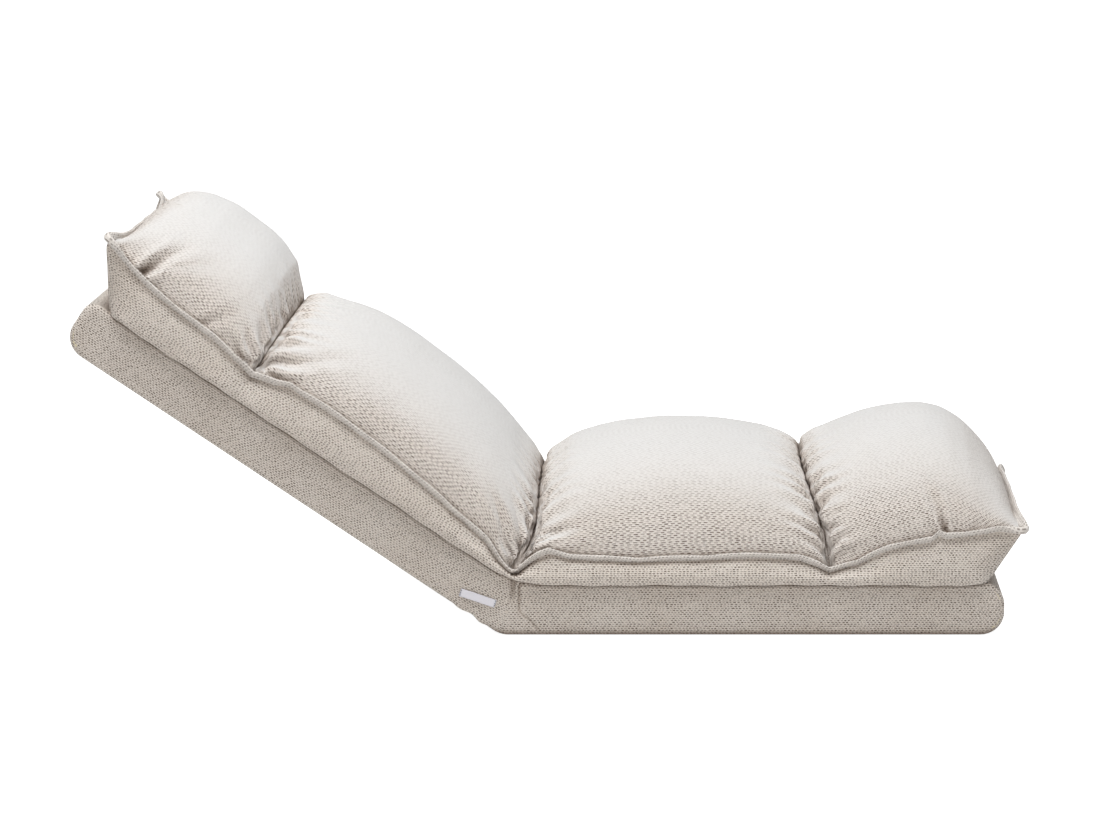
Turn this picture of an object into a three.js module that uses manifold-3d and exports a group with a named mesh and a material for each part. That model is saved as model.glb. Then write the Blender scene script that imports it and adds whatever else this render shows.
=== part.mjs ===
// A folding floor chair, opened out as a lounger with its back raised. Millimetres, +Z up.
// Two boxed base panels are joined by a ratchet hinge inside each side of the fold, and one long stuffed
// topper in four chambers is sewn along both. The seat base lies on the floor with its foot end towards +X;
// the back base rises towards -X. The origin is on the floor under the middle of the seat base.
import * as THREE from "three";
import { mergeVertices } from "three/addons/utils/BufferGeometryUtils.js";
import Module from "manifold-3d";

const wasm = await Module();
wasm.setup();

// Driving dimensions of the chair.
const seatLength = 852; // hinge axis to foot end of the seat base
const backLength = 884; // hinge axis to head end of the back base
const baseWidth = 590;
const baseThickness = 92;
const backRaiseDegrees = 34.2; // how far the back stands above level, as drawn
const clickDegrees = 11.4; // one click of the ratchet

// Cloth, foam and fits.
const clothThickness = 3; // cloth with its backing
const fitGap = 0.3; // between pieces that touch
const baseEdgeRadius = 9; // rounding of the bases' sewn edges
const baseCornerRadius = 40; // rounding of the outer ends, seen from the side
const panelClearance = 2.5; // from the fold's knuckle to the end of each base
const overrun = 10; // how far a cutting solid reaches past what it cuts

// Steel frames.
const tubeRadius = 11;
const tubeWall = 1.5;
const frameInset = 42; // base side to the middle of a frame arm
const frameEndInset = 48; // base end to the middle of the frame's end bar
const frameBendRadius = 60;
const crossBarRadius = 8;
const crossBarWall = 1.2;

// Ratchet hinges.
const plateThickness = 3;
const ratchetThickness = 4;
const rootRadius = 22; // bottom of the ratchet's notches
const toothHeight = 4;
const cheekRadius = 31;
const cheekNeckHalfHeight = 21; // cheek plate where it holds the pawl
const cheekStrapHalfHeight = 10.5; // cheek plate where it lies along the arm
const cheekNeckLength = 66; // hinge axis to where the cheek plate narrows
const cheekTaperLength = 16;
const cheekLength = 148; // hinge axis to the tip of the cheek plate
const pivotRadius = 5.5;
const pivotHeadRadius = 10;
const rivetHeadThickness = 2.5;
const rivetRadius = 3;
const rivetHeadRadius = 5.5;
const rivetEdgeDistance = 14; // tip of a plate to its last rivet
const rivetPitch = 32;
const tubeStartGap = 12; // narrowing of the cheek plate to the end of the seat's tube
const pawlReach = 28; // pawl pin to the notch that the pawl enters
const pawlSlopeDegrees = -35; // where on the ratchet the pawl works, seen from the left, above level
const pawlLiftDegrees = 12;
const pawlThickness = 4;
const pawlHalfHeight = 5;
const pawlPinRadius = 2.5;
const pawlPinHeadRadius = 4.5;
const pawlHubRadius = 5.6;
const springWire = 0.7; // radius of the pawl spring's wire
const springTurns = 3;
const springLeg = 13;
const slotClearance = 2; // round the hinge plates where they pass through cloth and foam
const grooveClearance = 1.2; // round a frame where it is bedded in foam

// Topper: sizes across it and up from the top of the bases.
const topperBottomHalf = 284;
const topperWaist = 8; // how far the lower side is drawn in
const flangeHalf = 300; // middle of the chair to the tip of the sewn flange
const flangeWidth = 9;
const flangeThickness = 3;
const channelPinch = 12; // how far a sewn channel draws the sides in
const chamberGap = 0.6; // between two chambers
const earReach = 20; // how far the outer corners are pulled out to points
const earRise = 16;
const endCrownRise = 10; // crown above the flange along the outer ends
const seatChamberLength = 550; // hinge axis to the channel between seat and leg chambers, at the flange
const backChamberLength = 586; // hinge axis to the channel between back and head chambers
const footInset = 26; // foot end of the base to the end of the topper's bottom
const footOverhang = 18; // foot end of the base to the end of the flange
const headInset = 36;
const headOverhang = 21;
const foldValleyHeight = 154;
const seatCrestHeight = 237;
const legValleyHeight = 172;
const legCrestHeight = 264;
const backCrestHeight = 200;
const headValleyHeight = 143;
const headCrestHeight = 206;
const foldFlangeHeight = 22;
const seatFlangeHeight = 46;
const legChannelFlangeHeight = 24;
const legFlangeHeight = 60;
const footFlangeHeight = 88;
const backFlangeHeight = 60;
const headChannelFlangeHeight = 39;
const headFlangeHeight = 66;
const headEndFlangeHeight = 98;
const legChannelLeanDegrees = 17; // how far that channel leans towards the seat

// Side label.
const labelLength = 64;
const labelHeight = 14;
const labelThickness = 0.8;
const labelFromHinge = 54; // hinge axis to the middle of the label, along the back
const labelAboveMiddle = -12;
const labelTiltDegrees = 16; // how far its outer end dips

const halfThickness = baseThickness / 2;
const halfWidth = baseWidth / 2;
const panelStart = halfThickness + panelClearance; // each base starts this far from the hinge axis
const armSide = halfWidth - frameInset; // middle of the chair to the middle of a frame arm
const tipRadius = rootRadius + toothHeight;
const cheekOffset = tubeRadius + fitGap + plateThickness / 2; // arm to the middle of a cheek plate
const cheekGapHalf = tubeRadius + fitGap; // arm to the inner face of a cheek plate
const seatTubeStart = cheekNeckLength + tubeStartGap;
const backTubeStart = panelStart + tubeStartGap;
const foldHalfDegrees = backRaiseDegrees / 2;
const foldSlope = Math.tan(THREE.MathUtils.degToRad(foldHalfDegrees));
const hingeX = -seatLength / 2;
const quarterTurn = Math.PI / 2;
const halfTurn = Math.PI;
const wholeTurn = 2 * Math.PI;

const roundSteps = 4; // facets in a rounded corner
const tubeSides = 12;
const rivetSides = 12;
const springSides = 6;

const upward = new THREE.Vector3(0, 0, 1);
const acrossChair = new THREE.Vector3(0, 1, 0);

// Materials.
const cloth = { color: 0xd9d3c8, roughness: 0.95, metalness: 0 };
const backing = { color: 0xb9b5ad, roughness: 0.95, metalness: 0 };
const foam = { color: 0xe9e2c9, roughness: 0.9, metalness: 0 };
const paintedSteel = { color: 0x2c2d2f, roughness: 0.5, metalness: 0.7 };
const zincSteel = { color: 0xb4b6b9, roughness: 0.35, metalness: 1 };
const labelCloth = { color: 0xf4f2ee, roughness: 0.8, metalness: 0 };

// Solids.

function solidOf(geometry) {
  const bare = geometry.clone();
  bare.deleteAttribute("normal");
  bare.deleteAttribute("uv");
  const welded = mergeVertices(bare);
  return new wasm.Manifold(
    new wasm.Mesh({
      numProp: 3,
      vertProperties: new Float32Array(welded.attributes.position.array),
      triVerts: new Uint32Array(welded.index.array),
    }),
  );
}

function geometryOf(solid) {
  const mesh = solid.getMesh();
  const geometry = new THREE.BufferGeometry();
  geometry.setAttribute("position", new THREE.BufferAttribute(new Float32Array(mesh.vertProperties), 3));
  geometry.setIndex(new THREE.BufferAttribute(new Uint32Array(mesh.triVerts), 1));
  geometry.computeVertexNormals();
  return geometry;
}

// A box given by its six sides.
function blockBetween(x0, x1, y0, y1, z0, z1) {
  const box = new THREE.BoxGeometry(x1 - x0, y1 - y0, z1 - z0);
  box.translate((x0 + x1) / 2, (y0 + y1) / 2, (z0 + z1) / 2);
  return solidOf(box);
}

// A shape drawn in the side view (along the panel, up) and given its thickness across the chair.
function plateAcross(shape, y0, y1, bevel = 0) {
  const geometry = new THREE.ExtrudeGeometry(shape, {
    depth: y1 - y0 - 2 * bevel,
    bevelEnabled: bevel > 0,
    bevelThickness: bevel,
    bevelSize: bevel,
    bevelOffset: -bevel,
    bevelSegments: roundSteps - 1,
    curveSegments: roundSteps,
  });
  geometry.rotateX(quarterTurn);
  geometry.translate(0, y1 - bevel, 0);
  return solidOf(geometry);
}

// A round bar across the chair.
function barAcross(x, z, radius, y0, y1) {
  const bar = new THREE.CylinderGeometry(radius, radius, y1 - y0, rivetSides);
  bar.translate(x, (y0 + y1) / 2, z);
  return solidOf(bar);
}

// The side view of a base: square at the fold, rounded at its outer end.
function baseOutline(start, end, halfHeight, cornerRadius) {
  const outline = new THREE.Shape();
  outline.moveTo(start, -halfHeight);
  outline.lineTo(end - cornerRadius, -halfHeight);
  outline.absarc(end - cornerRadius, cornerRadius - halfHeight, cornerRadius, -quarterTurn, 0);
  outline.lineTo(end, halfHeight - cornerRadius);
  outline.absarc(end - cornerRadius, halfHeight - cornerRadius, cornerRadius, 0, quarterTurn);
  outline.lineTo(start, halfHeight);
  outline.closePath();
  return outline;
}

// The space inside a base, kept a given distance inside its outer skin.
function baseBlock(length, inset) {
  return plateAcross(
    baseOutline(panelStart + inset, length - inset, halfThickness - inset, baseCornerRadius - inset),
    inset - halfWidth,
    halfWidth - inset,
    baseEdgeRadius - inset,
  );
}

// Round lobe that carries a base's side over the hinge, out of one layer of cloth.
function sideLobe(outerFace) {
  const lobeRadius = halfThickness - fitGap;
  const joinEnd = panelStart + clothThickness;
  const outline = new THREE.Shape();
  outline.moveTo(joinEnd, -lobeRadius);
  outline.lineTo(joinEnd, lobeRadius);
  outline.lineTo(0, lobeRadius);
  outline.absarc(0, 0, lobeRadius, quarterTurn, quarterTurn + halfTurn);
  outline.closePath();
  return (side) =>
    side > 0
      ? plateAcross(outline, outerFace - clothThickness, outerFace)
      : plateAcross(outline, -outerFace, clothThickness - outerFace);
}

// Openings in the end of a base for the hinge plates of both arms.
function hingeOpenings(halfHeight, length) {
  const halfSpan = cheekOffset + plateThickness / 2 + rivetHeadThickness + slotClearance;
  const height = halfHeight + slotClearance;
  const openings = [-armSide, armSide].map((y) =>
    blockBetween(-overrun, length, y - halfSpan, y + halfSpan, -height, height),
  );
  return openings[0].add(openings[1]);
}

function baseCover(length, lobeFace, plateHalfHeight) {
  const opening = clothThickness + baseEdgeRadius;
  let cover = baseBlock(length, 0).subtract(baseBlock(length, clothThickness));
  cover = cover.subtract(
    blockBetween(
      panelStart + opening,
      length - baseCornerRadius,
      opening - halfWidth,
      halfWidth - opening,
      -halfThickness - overrun,
      0,
    ),
  );
  const lobe = sideLobe(lobeFace);
  cover = cover.add(lobe(1)).add(lobe(-1));
  return cover.subtract(hingeOpenings(plateHalfHeight, panelStart + clothThickness + overrun));
}

// Cloth panel let into the underside of a base.
function underCloth(length) {
  const edge = clothThickness + baseEdgeRadius + fitGap;
  const outerEdge = baseCornerRadius + fitGap;
  return blockBetween(
    panelStart + edge,
    length - outerEdge,
    edge - halfWidth,
    halfWidth - edge,
    -halfThickness,
    clothThickness - halfThickness,
  );
}

// Skirt under the fold: a strip that carries the seat's underside to the hinge, then curls up round it.
function foldSkirt() {
  const inner = halfThickness - clothThickness;
  const skirtHalf = halfWidth - 2 * (clothThickness + fitGap) - fitGap;
  const curlEnd = quarterTurn + halfTurn - THREE.MathUtils.degToRad(2 * backRaiseDegrees);
  const outline = new THREE.Shape();
  outline.moveTo(panelStart + clothThickness, -halfThickness);
  outline.lineTo(panelStart + clothThickness, -inner);
  outline.lineTo(0, -inner);
  outline.absarc(0, 0, inner, quarterTurn + halfTurn, curlEnd, true);
  outline.lineTo(halfThickness * Math.cos(curlEnd), halfThickness * Math.sin(curlEnd));
  outline.absarc(0, 0, halfThickness, curlEnd, quarterTurn + halfTurn, false);
  outline.closePath();
  return plateAcross(outline, -skirtHalf, skirtHalf);
}

// Frames.

// Middle line of a U-shaped frame, from one arm's end round the outer end to the other's.
function frameLine(start, end) {
  const line = [new THREE.Vector2(start, -armSide)];
  for (const turn of [-1, 1]) {
    for (let step = 0; step <= roundSteps; step += 1) {
      const angle = turn < 0 ? (step / roundSteps - 1) * quarterTurn : (step / roundSteps) * quarterTurn;
      line.push(
        new THREE.Vector2(
          end - frameBendRadius + frameBendRadius * Math.cos(angle),
          turn * (armSide - frameBendRadius) + frameBendRadius * Math.sin(angle),
        ),
      );
    }
  }
  line.push(new THREE.Vector2(start, armSide));
  return line;
}

// A closed tube swept along points in space, solid or with a bore.
function sweptTube(points, across, radius, bore, sides) {
  const rings = bore > 0 ? [radius, bore] : [radius];
  const positions = [];
  points.forEach((point, index) => {
    const before = points[Math.max(index - 1, 0)];
    const after = points[Math.min(index + 1, points.length - 1)];
    const along = after.clone().sub(before).normalize();
    const side = new THREE.Vector3().crossVectors(across, along).normalize();
    const up = new THREE.Vector3().crossVectors(along, side).normalize();
    for (const ring of rings) {
      for (let corner = 0; corner < sides; corner += 1) {
        const angle = (corner / sides) * wholeTurn;
        const place = point
          .clone()
          .addScaledVector(side, ring * Math.cos(angle))
          .addScaledVector(up, ring * Math.sin(angle));
        positions.push(place.x, place.y, place.z);
      }
    }
  });
  const faces = [];
  const quad = (a, b, c, d) => faces.push(a, b, c, a, c, d);
  const perPoint = rings.length * sides;
  const last = (points.length - 1) * perPoint;
  for (let corner = 0; corner < sides; corner += 1) {
    const next = (corner + 1) % sides;
    for (let index = 0; index < points.length - 1; index += 1) {
      const here = index * perPoint;
      const there = here + perPoint;
      quad(here + corner, here + next, there + next, there + corner);
      if (bore > 0) {
        quad(here + sides + next, here + sides + corner, there + sides + corner, there + sides + next);
      }
    }
    if (bore > 0) {
      quad(corner, sides + corner, sides + next, next);
      quad(last + next, last + sides + next, last + sides + corner, last + corner);
    } else if (corner > 1) {
      faces.push(0, corner, corner - 1);
      faces.push(last, last + corner - 1, last + corner);
    }
  }
  const geometry = new THREE.BufferGeometry();
  geometry.setAttribute("position", new THREE.Float32BufferAttribute(positions, 3));
  geometry.setIndex(faces);
  return geometry;
}

function frameTube(start, end) {
  const points = frameLine(start, end).map((place) => new THREE.Vector3(place.x, place.y, 0));
  return solidOf(sweptTube(points, upward, tubeRadius, tubeRadius - tubeWall, tubeSides));
}

// Groove that beds a frame in the foam: the frame's path widened by the tube.
function frameGroove(start, end) {
  const reach = tubeRadius + grooveClearance;
  const groove = new THREE.Shape();
  const bendX = end - frameBendRadius;
  const bendY = armSide - frameBendRadius;
  groove.moveTo(start, -armSide - reach);
  groove.lineTo(bendX, -armSide - reach);
  groove.absarc(bendX, -bendY, frameBendRadius + reach, -quarterTurn, 0, false);
  groove.absarc(bendX, bendY, frameBendRadius + reach, 0, quarterTurn, false);
  groove.lineTo(start, armSide + reach);
  groove.lineTo(start, armSide - reach);
  groove.absarc(bendX, bendY, frameBendRadius - reach, quarterTurn, 0, true);
  groove.absarc(bendX, -bendY, frameBendRadius - reach, 0, -quarterTurn, true);
  groove.lineTo(start, reach - armSide);
  groove.closePath();
  const geometry = new THREE.ExtrudeGeometry(groove, {
    depth: 2 * reach,
    bevelEnabled: false,
    curveSegments: roundSteps,
  });
  geometry.translate(0, 0, -reach);
  return solidOf(geometry);
}

const crossBarShares = [0.36, 0.7]; // places of the two cross bars along a frame

function crossBarPlaces(length) {
  return crossBarShares.map((share) => share * length);
}

function crossBar(x) {
  const reach = armSide - tubeRadius - fitGap;
  const ends = [new THREE.Vector3(x, -reach, 0), new THREE.Vector3(x, reach, 0)];
  return solidOf(sweptTube(ends, upward, crossBarRadius, crossBarRadius - crossBarWall, tubeSides));
}

// Upper or lower slab of foam, bedded round the frame.
function foamSlab(length, upper, tubeStart, plateHalfHeight, plateEnd) {
  const inset = clothThickness + fitGap;
  let slab = baseBlock(length, inset);
  const reach = halfWidth + overrun;
  const farEnd = length + overrun;
  const cut = upper
    ? blockBetween(0, farEnd, -reach, reach, -halfThickness - overrun, fitGap / 2)
    : blockBetween(0, farEnd, -reach, reach, -fitGap / 2, halfThickness + overrun);
  slab = slab.subtract(cut).subtract(frameGroove(tubeStart, length - frameEndInset));
  for (const x of crossBarPlaces(length)) {
    const grooveHalf = crossBarRadius + fitGap;
    slab = slab.subtract(
      blockBetween(x - grooveHalf, x + grooveHalf, -armSide, armSide, -grooveHalf, grooveHalf),
    );
  }
  return slab.subtract(hingeOpenings(plateHalfHeight, plateEnd + slotClearance));
}

// Hinge plates, in side view with the hinge axis at zero.

function cheekOutline() {
  const outline = new THREE.Shape();
  const neckAngle = Math.asin(cheekNeckHalfHeight / cheekRadius);
  const strapStart = cheekNeckLength + cheekTaperLength;
  const strapEnd = cheekLength - cheekStrapHalfHeight;
  outline.moveTo(cheekRadius * Math.cos(neckAngle), -cheekNeckHalfHeight);
  outline.lineTo(cheekNeckLength, -cheekNeckHalfHeight);
  outline.lineTo(strapStart, -cheekStrapHalfHeight);
  outline.lineTo(strapEnd, -cheekStrapHalfHeight);
  outline.absarc(strapEnd, 0, cheekStrapHalfHeight, -quarterTurn, quarterTurn);
  outline.lineTo(strapStart, cheekStrapHalfHeight);
  outline.lineTo(cheekNeckLength, cheekNeckHalfHeight);
  outline.lineTo(cheekRadius * Math.cos(neckAngle), cheekNeckHalfHeight);
  outline.absarc(0, 0, cheekRadius, neckAngle, wholeTurn - neckAngle);
  return outline;
}

// Holes for pins of the given radius, drilled across the chair with their fit round them.
function drilled(solid, middle, places) {
  const reach = cheekOffset + plateThickness + overrun;
  return places.reduce(
    (part, { x, z = 0, pin }) => part.subtract(barAcross(x, z, pin + fitGap, middle - reach, middle + reach)),
    solid,
  );
}

const pawlAngle = THREE.MathUtils.degToRad(pawlSlopeDegrees);
const pawlPinX = tipRadius * Math.cos(pawlAngle) - pawlReach * Math.sin(pawlAngle);
const pawlPinZ = tipRadius * Math.sin(pawlAngle) + pawlReach * Math.cos(pawlAngle);
const seatRivetPlaces = [cheekLength - rivetEdgeDistance, cheekLength - rivetEdgeDistance - rivetPitch];

function cheekPlate(y) {
  const half = plateThickness / 2;
  return drilled(plateAcross(cheekOutline(), y - half, y + half), y, [
    { x: 0, pin: pivotRadius },
    { x: pawlPinX, z: pawlPinZ, pin: pawlPinRadius },
    ...seatRivetPlaces.map((x) => ({ x, pin: rivetRadius })),
  ]);
}

// Ratchet: saw teeth on the side away from its strap, one notch for each stop of the back.
const stopCount = 9; // flat, seven clicks and upright
const ratchetLength = 150; // hinge axis to the tip of the ratchet's strap
const ratchetStrapHalfHeight = 9;
const lockFaceShare = 0.06; // of a click: how far the locking face leans
const toothBackShare = 0.78; // of a click: where the tooth's back reaches the notch
const click = THREE.MathUtils.degToRad(clickDegrees);
const raise = THREE.MathUtils.degToRad(backRaiseDegrees);
const firstFace = halfTurn - pawlAngle - raise; // locking face of the notch in use as drawn
const clicksAboveRest = 5;
const backRivetPlaces = [ratchetLength - rivetEdgeDistance, ratchetLength - rivetEdgeDistance - rivetPitch];

function ratchetOutline() {
  const outline = new THREE.Shape();
  const polar = (radius, angle) => [radius * Math.cos(angle), radius * Math.sin(angle)];
  const strapAngle = Math.asin(ratchetStrapHalfHeight / rootRadius);
  const strapEnd = ratchetLength - ratchetStrapHalfHeight;
  const firstTooth = firstFace - (clicksAboveRest + 1) * click;
  outline.moveTo(strapEnd, -ratchetStrapHalfHeight);
  outline.absarc(strapEnd, 0, ratchetStrapHalfHeight, -quarterTurn, quarterTurn);
  outline.lineTo(...polar(rootRadius, strapAngle));
  outline.absarc(0, 0, rootRadius, strapAngle, firstTooth);
  for (let tooth = 0; tooth <= stopCount + 1; tooth += 1) {
    const face = firstTooth + tooth * click;
    outline.lineTo(...polar(tipRadius, face + lockFaceShare * click));
    outline.lineTo(...polar(rootRadius, face + toothBackShare * click));
    outline.lineTo(...polar(rootRadius, face + click));
  }
  outline.absarc(0, 0, rootRadius, firstTooth + (stopCount + 2) * click, wholeTurn - strapAngle);
  outline.closePath();
  return outline;
}

function ratchetPlate(y) {
  const half = ratchetThickness / 2;
  const hubHalf = cheekGapHalf - fitGap;
  const hubRadius = (pivotRadius + rootRadius) / 2;
  const plate = plateAcross(ratchetOutline(), y - half, y + half);
  return drilled(plate.add(barAcross(0, 0, hubRadius, y - hubHalf, y + hubHalf)), y, [
    { x: 0, pin: pivotRadius },
    ...backRivetPlaces.map((x) => ({ x, pin: rivetRadius })),
  ]);
}

// Pawl, drawn with its pin at zero and its tip along +X, the ratchet towards -Z.
function pawlOutline() {
  const clear = fitGap + fitGap;
  const tip = pawlReach - clear;
  const depth = toothHeight - clear;
  const pitch = click * tipRadius;
  const outline = new THREE.Shape();
  outline.moveTo(tip, clear + pawlHalfHeight);
  outline.lineTo(0, clear + pawlHalfHeight);
  outline.absarc(0, clear, pawlHalfHeight, quarterTurn, quarterTurn + halfTurn);
  outline.lineTo(pawlHalfHeight, clear);
  outline.lineTo(tip - pitch, clear);
  outline.lineTo(tip - lockFaceShare * pitch, -depth);
  outline.lineTo(tip, -depth);
  outline.closePath();
  return outline;
}

// Its hub fills the space to the inner cheek plate; the spring lies on its outer side.
function pawlPlate(outward) {
  const half = pawlThickness / 2;
  const hubEnd = cheekGapHalf - fitGap;
  const hub = barAcross(0, 0, pawlHubRadius, outward > 0 ? -hubEnd : -half, outward > 0 ? half : hubEnd);
  return drilled(plateAcross(pawlOutline(), -half, half).add(hub), 0, [{ x: 0, pin: pawlPinRadius }]);
}

// A headed rivet across the chair, its heads on the outer faces of what it holds.
function rivet(radius, headRadius, gripHalf) {
  const face = gripHalf + fitGap;
  const crown = face + rivetHeadThickness;
  const rim = face + rivetHeadThickness / 2;
  const profile = [
    new THREE.Vector2(0, -crown),
    new THREE.Vector2(headRadius / 2, -crown),
    new THREE.Vector2(headRadius, -rim),
    new THREE.Vector2(headRadius, -face),
    new THREE.Vector2(radius, -face),
    new THREE.Vector2(radius, face),
    new THREE.Vector2(headRadius, face),
    new THREE.Vector2(headRadius, rim),
    new THREE.Vector2(headRadius / 2, crown),
    new THREE.Vector2(0, crown),
  ];
  return solidOf(new THREE.LatheGeometry(profile, rivetSides));
}

// Torsion spring round the pawl's pin: coils beside the pawl, one leg on the pawl, one on the cheek's side.
function pawlSpring(outward) {
  const coilRadius = pawlPinRadius + fitGap + springWire + fitGap;
  const coilStart = pawlThickness / 2 + fitGap + springWire;
  const pitch = (cheekGapHalf - fitGap - springWire - coilStart) / springTurns;
  const steps = springTurns * 2 * roundSteps;
  const points = [new THREE.Vector3(springLeg, outward * coilStart, -coilRadius)];
  for (let step = 0; step <= steps; step += 1) {
    const turn = step / (2 * roundSteps);
    const angle = turn * wholeTurn - quarterTurn;
    points.push(
      new THREE.Vector3(
        coilRadius * Math.cos(angle),
        outward * (coilStart + pitch * turn),
        coilRadius * Math.sin(angle),
      ),
    );
  }
  const top = outward * (coilStart + pitch * springTurns);
  points[points.length - 1].set(0, top, -coilRadius);
  points.push(new THREE.Vector3(-springLeg, top, -coilRadius));
  return solidOf(sweptTube(points, acrossChair, springWire, 0, springSides));
}

// Topper chambers.

const crownPower = 2.5; // how square the crown is across the chair
const lengthPower = 2.3; // how square each chamber is along the chair
const flangePower = 2.6; // how late the flange bends towards a chamber's ends
const crownSteps = 6;
const chamberSteps = 20;

// Height of the sewn flange: level along the middle of a chamber, then bending to each end's height.
function flangeAt([first, middle, last], fromMiddle) {
  const end = fromMiddle < 0 ? first : last;
  return middle + (end - middle) * Math.abs(fromMiddle) ** flangePower;
}

// One stuffed chamber. Its ends are planes seen from the side; each station is a ring of cloth:
// the flat bottom, the drawn-in lower side, the sewn flange and the crown.
function stuffedChamber(chamber) {
  const bottom = halfThickness + fitGap;
  const positions = [];
  let ringSize = 0;
  for (let station = 0; station <= chamberSteps; station += 1) {
    const share = (1 - Math.cos((station / chamberSteps) * halfTurn)) / 2;
    const fromMiddle = 2 * share - 1;
    const swell = (1 - Math.abs(fromMiddle) ** lengthPower) ** (1 / lengthPower);
    const endHeight = chamber.startHeight + (chamber.endHeight - chamber.startHeight) * share;
    const crest = bottom + endHeight + (chamber.crestHeight - endHeight) * swell;
    const openEnd = chamber.openEnd ? Math.max(0, fromMiddle) ** 12 : 0;
    const pinched = chamber.openEnd && fromMiddle > 0 ? 0 : Math.abs(fromMiddle) ** 8;
    const drawIn = channelPinch * pinched;
    const flange = bottom + flangeAt(chamber.flangeHeights, fromMiddle) + earRise * openEnd;
    const tip = flangeHalf - drawIn + (earReach / 2) * openEnd;
    const root = tip - flangeWidth;
    const half = flangeThickness / 2;
    const ring = [
      [topperBottomHalf - drawIn, bottom],
      [topperBottomHalf - topperWaist / 2 - drawIn, bottom + (flange - bottom) / 3],
      [topperBottomHalf - topperWaist - drawIn, bottom + (2 * (flange - bottom)) / 3],
      [root, flange - half],
      [tip, flange - half],
      [tip, flange + half],
    ];
    for (let step = 0; step <= crownSteps; step += 1) {
      const angle = (step / crownSteps) * quarterTurn;
      ring.push([
        root * Math.cos(angle) ** (2 / crownPower),
        flange + half + (crest - flange - half) * Math.sin(angle) ** (2 / crownPower),
      ]);
    }
    const mirrored = ring
      .slice(0, -1)
      .reverse()
      .map(([y, z]) => [-y, z]);
    const whole = [...ring, ...mirrored];
    ringSize = whole.length;
    for (const [y, z] of whole) {
      const from = chamber.startPlane(z);
      const to = chamber.endPlane(z, flange);
      const corner = earReach * openEnd * Math.abs(y / flangeHalf) ** 6 * (z > bottom ? 1 : 0);
      positions.push(from + (to - from) * share + corner, y, z);
    }
  }
  const faces = [];
  for (let station = 0; station < chamberSteps; station += 1) {
    for (let corner = 0; corner < ringSize; corner += 1) {
      const next = (corner + 1) % ringSize;
      const here = station * ringSize;
      const there = here + ringSize;
      faces.push(here + corner, here + next, there + next);
      faces.push(here + corner, there + next, there + corner);
    }
  }
  const capOf = (station) => {
    const first = station * ringSize;
    const outline = [];
    for (let corner = 0; corner < ringSize; corner += 1) {
      const at = 3 * (first + corner);
      outline.push(new THREE.Vector2(positions[at + 1], positions[at + 2]));
    }
    return THREE.ShapeUtils.triangulateShape(outline, []).map((cap) => cap.map((corner) => first + corner));
  };
  for (const [a, b, c] of capOf(0)) faces.push(a, c, b);
  for (const [a, b, c] of capOf(chamberSteps)) faces.push(a, b, c);
  const geometry = new THREE.BufferGeometry();
  geometry.setAttribute("position", new THREE.Float32BufferAttribute(positions, 3));
  geometry.setIndex(faces);
  return solidOf(geometry);
}

// The planes where each chamber starts and ends, along its base from the hinge axis.
const legChannelLean = Math.tan(THREE.MathUtils.degToRad(legChannelLeanDegrees));
const foldPlane = (z) => z * foldSlope + chamberGap / 2;
const legPlane = (z) => seatChamberLength - legChannelLean * (z - halfThickness - legChannelFlangeHeight);
const headPlane = () => backChamberLength;
const beside = (plane, gap) => (z, flange) => plane(z, flange) + gap;
const slopingEnd = (bottomEnd, flangeEnd) => (z, flange) => {
  const climb = Math.min(1, (z - halfThickness) / (flange - halfThickness));
  return bottomEnd + (flangeEnd - bottomEnd) * climb;
};

const chambers = {
  seat: {
    startPlane: foldPlane,
    endPlane: beside(legPlane, -chamberGap / 2),
    startHeight: foldValleyHeight,
    crestHeight: seatCrestHeight,
    endHeight: legValleyHeight,
    flangeHeights: [foldFlangeHeight, seatFlangeHeight, legChannelFlangeHeight],
  },
  leg: {
    startPlane: beside(legPlane, chamberGap / 2),
    endPlane: slopingEnd(seatLength - footInset, seatLength + footOverhang),
    startHeight: legValleyHeight,
    crestHeight: legCrestHeight,
    endHeight: footFlangeHeight + earRise + endCrownRise,
    flangeHeights: [legChannelFlangeHeight, legFlangeHeight, footFlangeHeight],
    openEnd: true,
  },
  back: {
    startPlane: foldPlane,
    endPlane: beside(headPlane, -chamberGap / 2),
    startHeight: foldValleyHeight,
    crestHeight: backCrestHeight,
    endHeight: headValleyHeight,
    flangeHeights: [foldFlangeHeight, backFlangeHeight, headChannelFlangeHeight],
  },
  head: {
    startPlane: beside(headPlane, chamberGap / 2),
    endPlane: slopingEnd(backLength - headInset, backLength + headOverhang),
    startHeight: headValleyHeight,
    crestHeight: headCrestHeight,
    endHeight: headEndFlangeHeight + earRise + endCrownRise,
    flangeHeights: [headChannelFlangeHeight, headFlangeHeight, headEndFlangeHeight],
    openEnd: true,
  },
};

// Assembly.

const chair = new THREE.Group();
const seat = new THREE.Group();
seat.position.set(hingeX, 0, halfThickness);
const back = new THREE.Group();
back.position.copy(seat.position);
back.rotation.y = raise;
const backPanel = new THREE.Group(); // turned round so that the back's length runs along its own +X
backPanel.rotation.z = halfTurn;
back.add(backPanel);
chair.add(seat, back);

function place(group, name, solid, finish) {
  const mesh = new THREE.Mesh(geometryOf(solid), new THREE.MeshStandardMaterial(finish));
  mesh.name = name;
  group.add(mesh);
  return mesh;
}

const sides = [
  { name: "left", y: 1 },
  { name: "right", y: -1 },
];
const seatPlateEnd = cheekLength;
const backPlateEnd = ratchetLength;

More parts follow.
